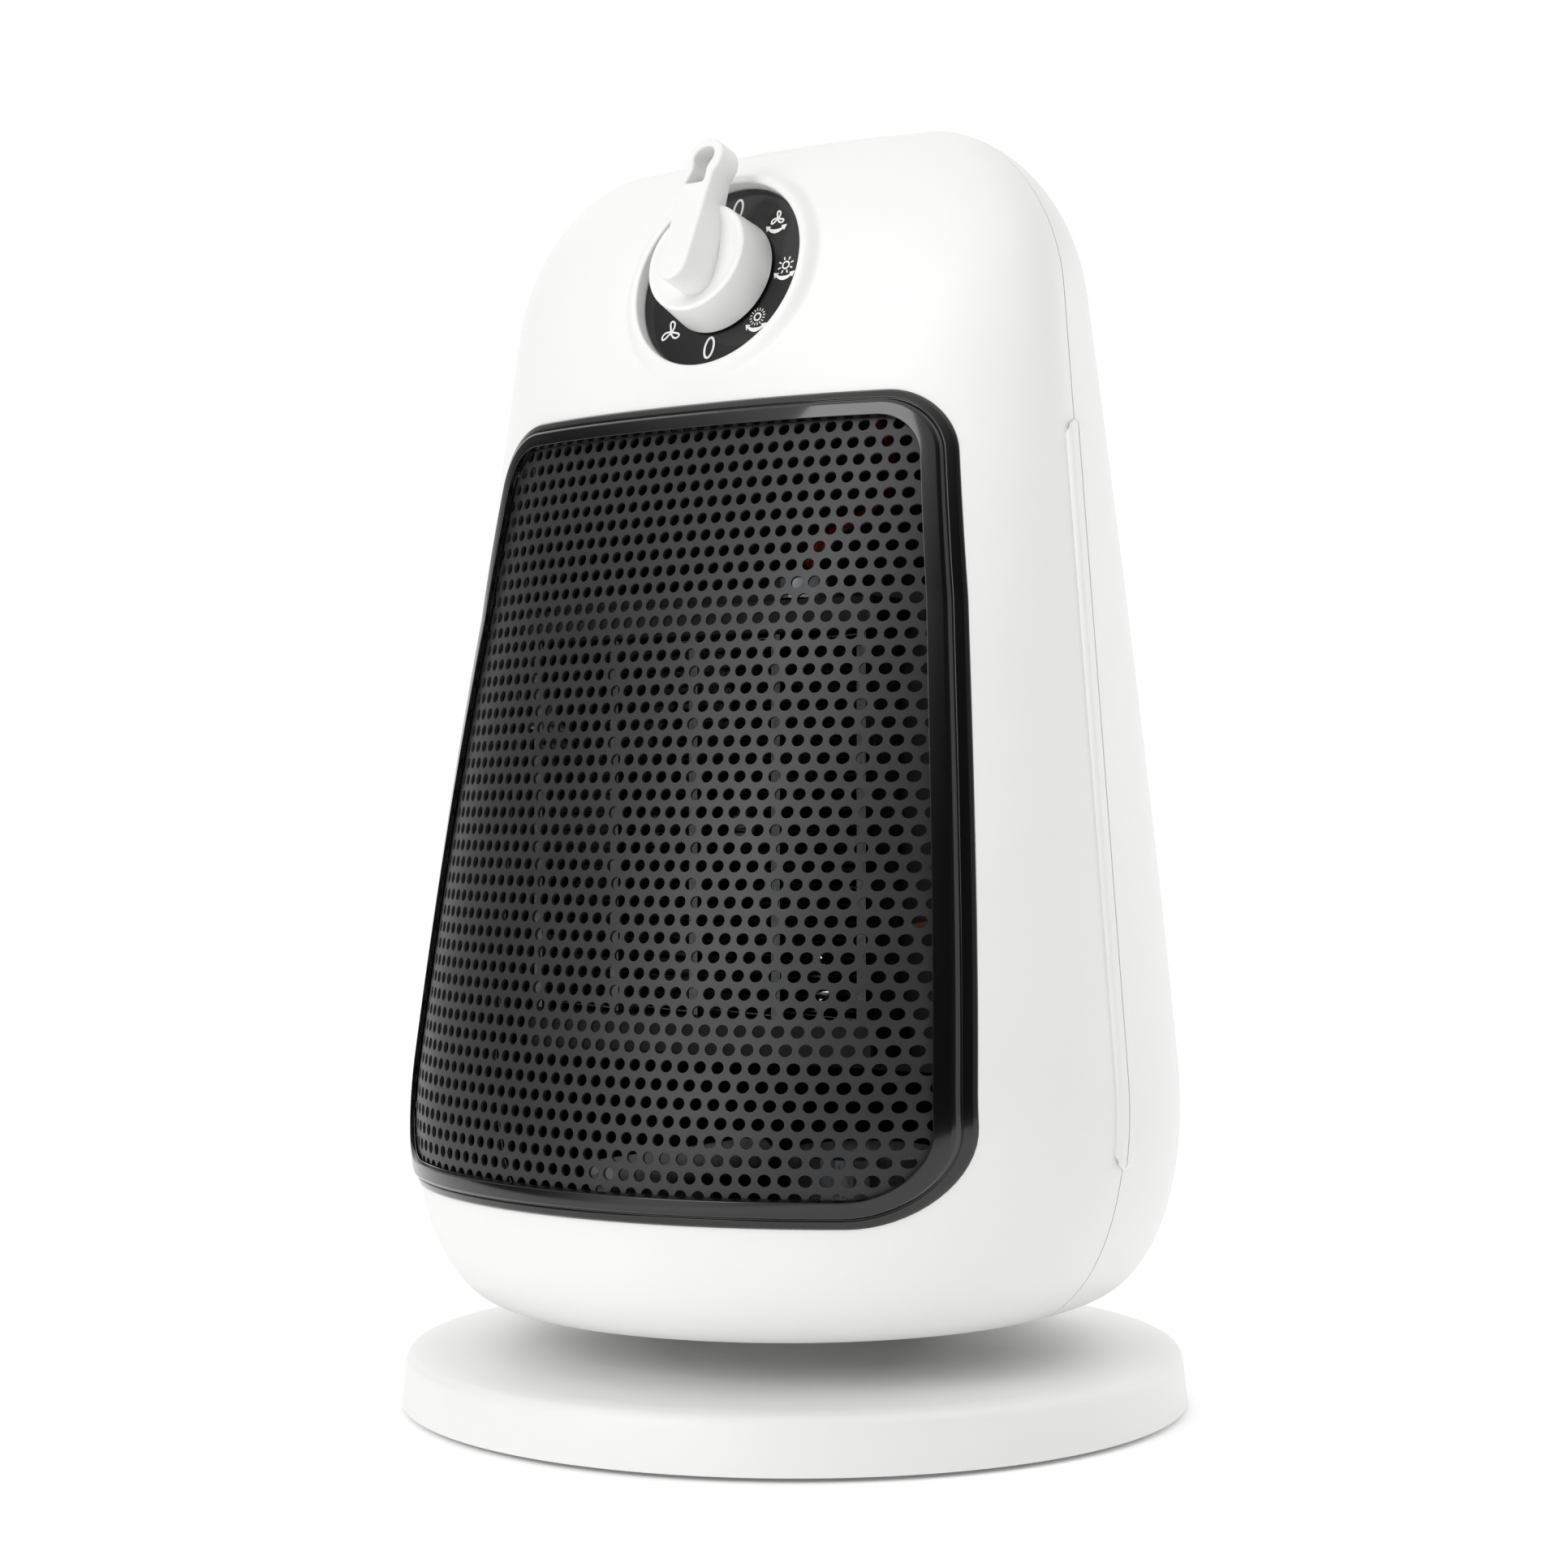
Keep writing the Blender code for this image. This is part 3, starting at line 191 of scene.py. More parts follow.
@dataclass(frozen=True)
class MouldedPlastic:
    """Injection-moulded plastic: an even colour, slightly uneven polish and a fine moulded grain."""

    name: str
    colour: str
    deep_colour: str
    roughness: tuple[float, float]
    grain_mm: float
    relief_mm: float
    cloud_mm: float = 35.0
    coat: float = 0.0
    specular: float = 0.5

    def make(self) -> bpy.types.Material:
        """Build the material.

        Returns:
            The material, on Object coordinates.
        """
        made, tree = blank_material(self.name)
        place = add_node(tree, "ShaderNodeTexCoord").outputs["Object"]
        cloud = add_node(tree, "ShaderNodeTexNoise",
                         {"Vector": place, "Scale": per_mm(self.cloud_mm), "Detail": 3.0})
        grain = add_node(tree, "ShaderNodeTexNoise",
                         {"Vector": place, "Scale": per_mm(self.grain_mm), "Detail": 4.0, "Roughness": 0.6})
        coat_surface(tree, self, cloud.outputs["Fac"], grain.outputs["Fac"],
                     {"IOR": 1.5, "Coat Weight": self.coat, "Coat Roughness": 0.04,
                      "Specular IOR Level": self.specular})
        return made


@dataclass(frozen=True)
class BareMetal:
    """Rolled, drawn or plated metal with fine streaks along its working direction."""

    name: str
    colour: str
    deep_colour: str
    roughness: tuple[float, float]
    streak_mm: tuple[float, float, float]
    relief_mm: float = 0.004

    def make(self) -> bpy.types.Material:
        """Build the material.

        Returns:
            The material, on Object coordinates.
        """
        made, tree = blank_material(self.name)
        place = add_node(tree, "ShaderNodeTexCoord").outputs["Object"]
        stretch = add_node(tree, "ShaderNodeMapping",
                           {"Vector": place, "Scale": Vector([per_mm(size) for size in self.streak_mm])})
        streak = add_node(tree, "ShaderNodeTexNoise",
                          {"Vector": stretch.outputs["Vector"], "Scale": 1.0, "Detail": 3.0})
        coat_surface(tree, self, streak.outputs["Fac"], streak.outputs["Fac"], {"Metallic": 1.0})
        return made


# White ABS, spark-eroded tool: satin and almost pure white, its grain only just softening highlights
WHITE_ABS = MouldedPlastic("satin_white_abs", "f3f3f2", "efefee", (0.36, 0.44), 0.9, 0.006)
# Turned white ABS of the base: the same resin off a finer tool
BASE_ABS = MouldedPlastic("satin_white_abs_base", "f3f3f2", "eeeeed", (0.38, 0.46), 0.9, 0.007)
# Black ABS off a polished tool: mirror-like, with the long soft waves of moulding shrinkage
GLOSS_ABS = MouldedPlastic("polished_black_abs", "0d0d0e", "090909", (0.09, 0.15), 30.0, 0.02, 60.0, 0.3)
# Perforated steel with a black powder coat: satin, faint orange peel about a millimetre across
POWDER_STEEL = MouldedPlastic("black_powder_coated_steel", "262627", "212122", (0.42, 0.50), 1.1, 0.010, 18.0)
# Glass-filled nylon: duller black, coarser grain
BLACK_NYLON = MouldedPlastic("black_glass_filled_nylon", "1c1c1d", "141415", (0.50, 0.62), 0.7, 0.020, 12.0)
# Painted shade on the casing's inner faces: a dead matt black that stands in for the shade inside, so the
# openings look dark
INSIDE_SHADE_PAINT = MouldedPlastic("painted_shade_inside_casing", "0a0a0a", "070707", (0.85, 0.95), 1.4, 0.030,
                             10.0)
# Unpigmented nylon of the gear, pinion, washer and terminals: ivory with a waxy sheen
IVORY_NYLON = MouldedPlastic("natural_nylon", "ded9ca", "d2ccba", (0.38, 0.48), 1.2, 0.012, 14.0)
# Nitrile rubber of the feet: matte and dark grey
RUBBER = MouldedPlastic("nitrile_rubber", "232323", "1a1a1a", (0.75, 0.88), 0.6, 0.030, 8.0)
# Pad-printed white enamel of the dial's marks
PRINT_INK = MouldedPlastic("white_pad_print_ink", "f6f6f4", "ededeb", (0.45, 0.55), 0.4, 0.004, 3.0)
# Insulation of the inner wires: soft PVC with a faint sheen, the red one browned by warmth
RED_PVC = MouldedPlastic("red_pvc_insulation", "6a1510", "58100b", (0.42, 0.52), 0.8, 0.010, 9.0)
BLUE_PVC = MouldedPlastic("blue_pvc_insulation", "24489a", "1b3a80", (0.42, 0.52), 0.8, 0.010, 9.0)
BROWN_PVC = MouldedPlastic("brown_pvc_insulation", "6b452a", "57361f", (0.42, 0.52), 0.8, 0.010, 9.0)
# Zinc-plated steel: bluish grey with drawn streaks
ZINC_STEEL = BareMetal("zinc_plated_steel", "b9bcc0", "9a9da2", (0.26, 0.42), (0.6, 0.6, 5.0))
# Rolled aluminium foil and tube of the heater: dulled by heat, streaked along its height
ROLLED_ALUMINIUM = BareMetal("rolled_aluminium", "8e9092", "6a6c6f", (0.22, 0.38), (0.4, 0.4, 8.0))

SLOT_FINISHES: dict[str, Finish] = {
    "white_abs": WHITE_ABS, "gloss_black": GLOSS_ABS, "grille_black": POWDER_STEEL,
    "black_nylon": BLACK_NYLON, "ivory_nylon": IVORY_NYLON, "steel": ZINC_STEEL,
    "aluminium": ROLLED_ALUMINIUM, "rubber": RUBBER, "wire_red": RED_PVC, "wire_blue": BLUE_PVC,
    "wire_brown": BROWN_PVC,
}


@dataclass
class Paints:
    """Makes each finish's material once and hands it out."""

    made: dict[str, bpy.types.Material] = field(default_factory=dict)

    def of(self, finish: Finish) -> bpy.types.Material:
        """Return the finish's material, made on first use."""
        if finish.name not in self.made:
            self.made[finish.name] = finish.make()
        return self.made[finish.name]


# ---------------------------------------------------------------- mesh helpers

def linked(name: str, data: bpy.types.ID) -> bpy.types.Object:
    """Make an object of some data and put it in the scene."""
    made = bpy.data.objects.new(name, data)
    bpy.context.scene.collection.objects.link(made)
    return made


def bent_grid(columns: int, rows: int, place: Callable[[float, float], Vector]) -> bmesh.types.BMesh:
    """Bend a flat grid into a surface and weld what meets.

    Args:
        columns: Faces along u.
        rows: Faces along v.
        place: Where the point at (u, v) goes, each from 0 to 1.

    Returns:
        The surface.
    """
    work = bmesh.new()
    bmesh.ops.create_grid(work, x_segments=columns, y_segments=rows, size=1.0)
    for vert in work.verts:
        vert.co = place((vert.co.x + 1.0) / 2.0, (vert.co.y + 1.0) / 2.0)
    bmesh.ops.remove_doubles(work, verts=work.verts, dist=1e-6)
    bmesh.ops.dissolve_degenerate(work, edges=work.edges, dist=1e-7)
    return work


def swept(outlines: Sequence[Sequence[Vector]], closed: bool = True) -> bmesh.types.BMesh:
    """Skin over outlines of equal counts, each a closed ring.

    Args:
        outlines: The rings in order.
        closed: Whether the last ring joins the first.

    Returns:
        The skin, with its faces turned outwards.
    """
    around, along = len(outlines[0]), len(outlines)
    rows = along if closed else along - 1

    def place(u: float, v: float) -> Vector:
        return outlines[round(v * rows) % along][round(u * around) % around]

    work = bent_grid(around, rows, place)
    bmesh.ops.recalc_face_normals(work, faces=work.faces)
    return work


def turned(profile: Sequence[Point2], steps: int, closed: bool = False,
           place: Matrix | None = None) -> bmesh.types.BMesh:
    """Turn a profile of (radius, height) about Z.

    Args:
        profile: Points of the profile.
        steps: Facets round it.
        closed: Whether the profile's ends join.
        place: Where the finished shape goes.

    Returns:
        The turned shape.
    """
    work = bmesh.new()
    verts = [work.verts.new((radius, 0.0, height)) for radius, height in profile]
    pairs = list(zip(verts, verts[1:]))
    if closed:
        pairs.append((verts[-1], verts[0]))
    edges = [work.edges.new(pair) for pair in pairs]
    bmesh.ops.spin(work, geom=[*verts, *edges], cent=(0, 0, 0), axis=(0, 0, 1), dvec=(0, 0, 0),
                   angle=2 * math.pi, steps=steps, use_merge=True, use_duplicate=False)
    bmesh.ops.remove_doubles(work, verts=work.verts, dist=1e-6)
    bmesh.ops.recalc_face_normals(work, faces=work.faces)
    if place is not None:
        bmesh.ops.transform(work, matrix=place, verts=work.verts)
    return work


def softened(corners: Sequence[tuple[float, float, float]], steps: int = 5,
             closed: bool = False) -> list[Point2]:
    """Round a profile's corners.

    Args:
        corners: (x, y, radius) of each corner.
        steps: Pieces of each arc.
        closed: Whether the profile joins up.

    Returns:
        The rounded profile's points.
    """
    points: list[Point2] = []
    count = len(corners)
    for i, (x, y, radius) in enumerate(corners):
        here = Vector((x, y))
        if radius <= 0.0 or (not closed and i in (0, count - 1)):
            points.append((x, y))
            continue
        before = (Vector(corners[i - 1][:2]) - here)
        after = (Vector(corners[(i + 1) % count][:2]) - here)
        reach = min(radius / math.tan(before.angle(after) / 2), before.length * 0.49, after.length * 0.49)
        start, end = here + before.normalized() * reach, here + after.normalized() * reach
        for k in range(steps + 1):
            share = k / steps
            spot = start * (1 - share) ** 2 + here * (2 * share * (1 - share)) + end * share ** 2
            points.append((spot.x, spot.y))
    return points


def prism(outline: Sequence[Point2], low: float, high: float, place: Matrix) -> bmesh.types.BMesh:
    """Extrude a closed outline between two heights.

    Args:
        outline: The outline's points.
        low: Lower height.
        high: Upper height.
        place: Where the shape goes.

    Returns:
        The closed prism.
    """
    work = bmesh.new()
    verts = [work.verts.new((x, y, low)) for x, y in outline]
    face = bmesh.ops.contextual_create(work, geom=verts)["faces"]
    lifted = bmesh.ops.extrude_face_region(work, geom=face, use_keep_orig=True)["geom"]
    moved = [item for item in lifted if isinstance(item, bmesh.types.BMVert)]
    bmesh.ops.translate(work, verts=moved, vec=(0, 0, high - low))
    bmesh.ops.recalc_face_normals(work, faces=work.faces)
    bmesh.ops.transform(work, matrix=place, verts=work.verts)
    return work


def circle(radius: float, steps: int, centre: Point2 = (0.0, 0.0)) -> list[Point2]:
    """Points round a circle."""
    return [(centre[0] + radius * math.cos(2 * math.pi * i / steps),
             centre[1] + radius * math.sin(2 * math.pi * i / steps)) for i in range(steps)]


def mesh_of(work: bmesh.types.BMesh, name: str) -> bpy.types.Mesh:
    """Turn a bmesh into a mesh and free it."""
    mesh = bpy.data.meshes.new(name)
    work.to_mesh(mesh)
    work.free()
    return mesh


def joined(*works: bmesh.types.BMesh) -> bmesh.types.BMesh:
    """Put several shapes into one bmesh.

    Args:
        *works: The shapes, which are used up.

    Returns:
        One bmesh that holds them all.
    """
    whole = bmesh.new()
    for work in works:
        mesh = mesh_of(work, "joining")
        whole.from_mesh(mesh)
        bpy.data.meshes.remove(mesh)
    return whole


def settled(made: bpy.types.Object) -> bmesh.types.BMesh:
    """Apply an object's modifiers, and remove the object.

    Args:
        made: The object, a mesh or a curve.

    Returns:
        Its finished shape, in place.
    """
    bpy.context.view_layer.update()
    graph = bpy.context.evaluated_depsgraph_get()
    mesh = bpy.data.meshes.new_from_object(made.evaluated_get(graph))
    mesh.transform(made.matrix_world)
    work = bmesh.new()
    work.from_mesh(mesh)
    data = made.data
    bpy.data.objects.remove(made, do_unlink=True)
    bpy.data.meshes.remove(mesh)
    if isinstance(data, bpy.types.Mesh):
        bpy.data.meshes.remove(data)
    else:
        bpy.data.curves.remove(data)
    return work


def carved(work: bmesh.types.BMesh, wall: float, cutters: Sequence[bmesh.types.BMesh], inner_shade: int = 0,
           keep: bmesh.types.BMesh | None = None) -> bmesh.types.BMesh:
    """Give a skin its wall, then cut openings through it.

    Args:
        work: The skin, facing outwards, which is used up.
        wall: Its thickness, added inwards.
        cutters: Closed shapes to cut away, which are used up.
        inner_shade: Material slot of the wall's inner face, which carries the painted shade inside the
            casing.
        keep: Closed shape outside which everything is cut away, which is used up.

    Returns:
        The finished shell.
    """
    shell = linked("shell", mesh_of(work, "shell"))
    for _ in range(inner_shade + 1):
        shell.data.materials.append(None)
    thicken = shell.modifiers.new("wall", "SOLIDIFY")
    thicken.thickness = wall
    thicken.offset = -1.0
    # The inner faces may take their own slot, which holds the painted shade inside the casing.
    thicken.material_offset = inner_shade
    tools = []
    changes = [(cutter, "DIFFERENCE") for cutter in cutters]
    if keep is not None:
        changes.append((keep, "INTERSECT"))
    for cutter, operation in changes:
        tool = linked("cutter", mesh_of(cutter, "cutter"))
        tools.append(tool)
        cut = shell.modifiers.new("cut", "BOOLEAN")
        cut.operation = operation
        cut.solver = "MANIFOLD"
        cut.object = tool
    done = settled(shell)
    for tool in tools:
        data = tool.data
        bpy.data.objects.remove(tool, do_unlink=True)
        bpy.data.meshes.remove(data)
    return done


def flat_curve(name: str, outlines: Sequence[Sequence[Point2]], half_height: float,
               rounding: float) -> bpy.types.Object:
    """Flat filled curve with rounded edges.

    Args:
        name: The object's name.
        outlines: The outer outline, then its holes.
        half_height: Half of its whole thickness.
        rounding: Radius of its edges.

    Returns:
        The curve object.
    """
    curve = bpy.data.curves.new(name, "CURVE")
    curve.dimensions = "2D"
    curve.fill_mode = "BOTH"
    curve.bevel_depth = rounding
    curve.bevel_resolution = 3
    curve.offset = -rounding
    curve.extrude = half_height - rounding
    for outline in outlines:
        spline = curve.splines.new("POLY")
        spline.points.add(len(outline) - 1)
        spline.use_cyclic_u = True
        for point, (x, y) in zip(spline.points, outline):
            point.co = (x, y, 0.0, 1.0)
    made = linked(name, curve)
    return made


@dataclass
class Workshop:
    """Finishes pieces: shading, material, body and the solids they replace."""

    paints: Paints

    def piece(self, name: str, work: bmesh.types.BMesh, finish: Finish, body: Body, slot: str,
              replaces: Iterable[str] = (), crisp: float = 32.0,
              inner_shade: Finish | None = None) -> bpy.types.Object:
        """Make a finished piece of a shape.

        Args:
            name: The piece's name.
            work: Its shape, which is used up.
            finish: Its finish.
            body: The body that it rides on.
            slot: The record's material slot that it belongs to; not used.
            replaces: The frame's nodes that it stands for.
            crisp: Edges sharper than this many degrees stay sharp.
            inner_shade: Finish of the inner faces, where they differ: the painted shade inside the casing.

        Returns:
            The piece.
        """
        mesh = mesh_of(work, name)
        # Inner faces that differ get the painted shade: a dead black standing in for the shade inside the
        # casing.
        for coat in (finish, inner_shade) if inner_shade else (finish,):
            mesh.materials.append(self.paints.of(coat))
        mesh.shade_smooth()
        mesh.set_sharp_from_angle(angle=math.radians(crisp))
        made = linked(name, mesh)
        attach(made, body.value)
        for node in replaces:
            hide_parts(node)
        log.info("%s: %d faces on %s", name, len(mesh.polygons), body.value)
        return made


# ---------------------------------------------------------------- body

def corner(share: float) -> float:
    """Quarter arc: 0 at share 0, rising ever more steeply to 1 at share 1."""
    share = min(max(share, 0.0), 1.0)
    return 1.0 - math.sqrt(1.0 - share * share)


def smooth(share: float) -> float:
    """Ease from 0 to 1 that starts and ends level."""
    return share * share * (3 - 2 * share)


@dataclass(frozen=True)
class RoundedEdge:
    """Edge along which a surface draws in, towards the floor or towards the top."""

    start: float
    height: float
    reach: float

    def below(self, z: float) -> float:
        """How far an edge at the floor draws in at a height."""
        return self.reach * corner((self.start - z) / self.height)

    def above(self, z: float) -> float:
        """How far an edge at the top draws in at a height."""
        return self.reach * corner((z - self.start) / self.height)


@dataclass(frozen=True)
class BodyForm:
    """Outer form of the casing: an oval that narrows upwards, with a leaning control panel."""

    seam_y: float = -0.005
    floor: float = 0.0270
    top: float = 0.3175
    crown: float = 0.0015
    neck: float = 0.0330
    panel_from: float = 0.225
    tilt: float = math.radians(18.25)
    low_z: float = 0.077
    low_half: float = 0.1010
    taper: float = 0.088
    bow: float = 0.50
    front_from: float = 0.065
    front_deep: float = 0.0906
    front_lean: float = 0.17
    rear_deep: float = 0.0815
    rear_lean: float = 0.10
    side_low: RoundedEdge = RoundedEdge(0.088, 0.061, 0.036)
    side_top: RoundedEdge = RoundedEdge(0.2755, 0.042, 0.036)
    front_low: RoundedEdge = RoundedEdge(0.078, 0.051, 0.022)
    front_top: RoundedEdge = RoundedEdge(0.292, 0.0255, 0.014)
    rear_low: RoundedEdge = RoundedEdge(0.088, 0.061, 0.011)
    rear_top: RoundedEdge = RoundedEdge(0.2875, 0.030, 0.018)
    rear_power: float = 2.3
    front_power: float = 2.0
    panel_gain: float = 0.4
    gain_from: float = 0.20
    gain_over: float = 0.08

    def half_width(self, z: float) -> float:
        """Half width at a height."""
        straight = self.low_half - self.taper * (z - self.low_z)
        return straight - self.side_low.below(z) - self.side_top.above(z)

    def depth(self, z: float, half: Half) -> float:
        """How far the front or rear stands from the swing axis at a height."""
        if half is Half.REAR:
            rise = z - self.low_z
            straight = self.rear_deep - self.rear_lean * rise - self.bow * rise * rise
            return straight - self.rear_low.below(z) - self.rear_top.above(z)
        rise = min(z, self.panel_from) - self.front_from
        panel_lean = max(z - self.panel_from, 0.0) * math.tan(self.tilt)
        straight = self.front_deep - self.front_lean * rise - self.bow * rise * rise - panel_lean
        return straight - self.front_low.below(z) - self.front_top.above(z)

    def power(self, z: float, half: Half) -> float:
        """Exponent of the section's oval."""
        if half is Half.REAR:
            return self.rear_power
        return self.front_power + self.panel_gain * min(max((z - self.gain_from) / self.gain_over, 0.0), 1.0)

    def y_at(self, x: float, z: float, half: Half = Half.FRONT) -> float:
        """Y of the surface at a place seen from the front or the rear."""
        power = self.power(z, half)
        share = min(abs(x) / self.half_width(z), 1.0)
        deep = self.depth(z, half) + half.value * -self.seam_y
        return self.seam_y + half.value * deep * (1.0 - share ** power) ** (1.0 / power)

    def ring_point(self, turn: float, z: float, half: Half, shift: float = 0.0) -> Vector:
        """Point of the oval at a height.

        Args:
            turn: From 0 at +X to pi at -X, round that half.
            z: The height.
            half: Which half.
            shift: How far the half's rim stands back from the seam.

        Returns:
            The point.
        """
        power = self.power(z, half)
        across, along = math.cos(turn), max(math.sin(turn), 0.0)
        deep = self.depth(z, half) + half.value * -self.seam_y - shift
        x = self.half_width(z) * math.copysign(abs(across) ** (2 / power), across)
        return Vector((x, self.seam_y + half.value * (shift + deep * along ** (2 / power)), z))


FORM = BodyForm()


@dataclass(frozen=True)
class FrameOutline:
    """Tapered rounded outline of the front frame, seen from the front."""

    top_z: float = 0.2500
    bottom_z: float = 0.0558
    top_half: float = 0.0692
    bottom_half: float = 0.0880
    top_radius: float = 0.017
    bottom_radius: float = 0.0210
    bulge: float = 0.0024

    def points(self, inset: float, spacing: float = 0.0022, arc: int = 14) -> list[Point2]:
        """Points (x, z) of the outline moved inwards.

        Args:
            inset: How far inwards.
            spacing: About how far apart points are on the long runs.
            arc: Pieces of each corner.

        Returns:
            The closed outline, whose count doesn't depend on the inset.
        """
        low, high = self.bottom_z + inset, self.top_z - inset
        wide_low, wide_high = self.bottom_half - inset, self.top_half - inset
        corners = [Vector((-wide_low, low)), Vector((wide_low, low)), Vector((wide_high, high)),
                   Vector((-wide_high, high))]
        radii = [max(self.bottom_radius - inset, 0.002)] * 2 + [max(self.top_radius - inset, 0.002)] * 2
        side = self.top_z - self.bottom_z
        runs = [2 * self.bottom_half, side, 2 * self.top_half, side]
        arcs = []
        for i, (here, radius) in enumerate(zip(corners, radii)):
            before, after = (corners[i - 1] - here).normalized(), (corners[(i + 1) % 4] - here).normalized()
            half = before.angle(after) / 2
            centre = here + (before + after).normalized() * radius / math.sin(half)
            start = here + before * radius / math.tan(half) - centre
            sweep = start.angle_signed(here + after * radius / math.tan(half) - centre)
            arcs.append([centre + Matrix.Rotation(-sweep * k / arc, 2) @ start for k in range(arc + 1)])
        points: list[Vector] = []
        for i, bend in enumerate(arcs):
            points += bend
            pieces = round(runs[i] / spacing)
            following = arcs[(i + 1) % 4][0]
            points += [bend[-1].lerp(following, k / pieces) for k in range(1, pieces)]
        middle, reach = (low + high) / 2, (high - low) / 2
        return [(p.x + self.bulge * p.x / self.bottom_half * (1 - ((p.y - middle) / reach) ** 2), p.y)
                for p in points]

    def encloses(self, x: float, z: float, inset: float) -> bool:
        """Tell whether a place lies inside the outline moved inwards."""
        reach = (self.top_z - self.bottom_z) / 2 - inset
        middle = (self.top_z + self.bottom_z) / 2
        rise = (z - middle) / reach
        if abs(rise) >= 1.0:
            return False
        x = abs(x) / (1 + self.bulge / self.bottom_half * (1 - rise * rise))
        share = (z - self.bottom_z - inset) / (2 * reach)
        wide = self.bottom_half - inset + (self.top_half - self.bottom_half) * share
        ends = ((self.bottom_radius, self.bottom_z, 1), (self.top_radius, self.top_z, -1))
        for radius, level, sign in ends:
            radius = max(radius - inset, 0.002)
            below = radius - sign * (z - level) + inset
            if below > 0 and x > wide - radius:
                return (x - wide + radius) ** 2 + below ** 2 < radius ** 2
        return x < wide


FRAME = FrameOutline()


@dataclass(frozen=True)
class DialPlace:
    """Where the dial sits: local +Z points out of the panel, local +Y up along it."""

    centre: tuple[float, float, float] = (0.0, -0.0330, 0.2837)
    radius: float = 0.0248
    floor: float = -0.0052
    plate_front: float = -0.0034

    @property
    def matrix(self) -> Matrix:
        """Place of the dial in the frame."""
        return Matrix.Translation(self.centre) @ Matrix.Rotation(math.pi / 2 - FORM.tilt, 4, "X")

    def panel_height(self, u: float, v: float) -> float:
        """Height of the casing's surface over the dial's own plane at a place on it."""
        place = self.matrix
        height = 0.0
        for _ in range(6):
            spot = place @ Vector((u, v, height))
            height += (spot.y - FORM.y_at(spot.x, min(spot.z, FORM.top - 0.0002))) * math.cos(FORM.tilt)
        return height


DIAL = DialPlace()


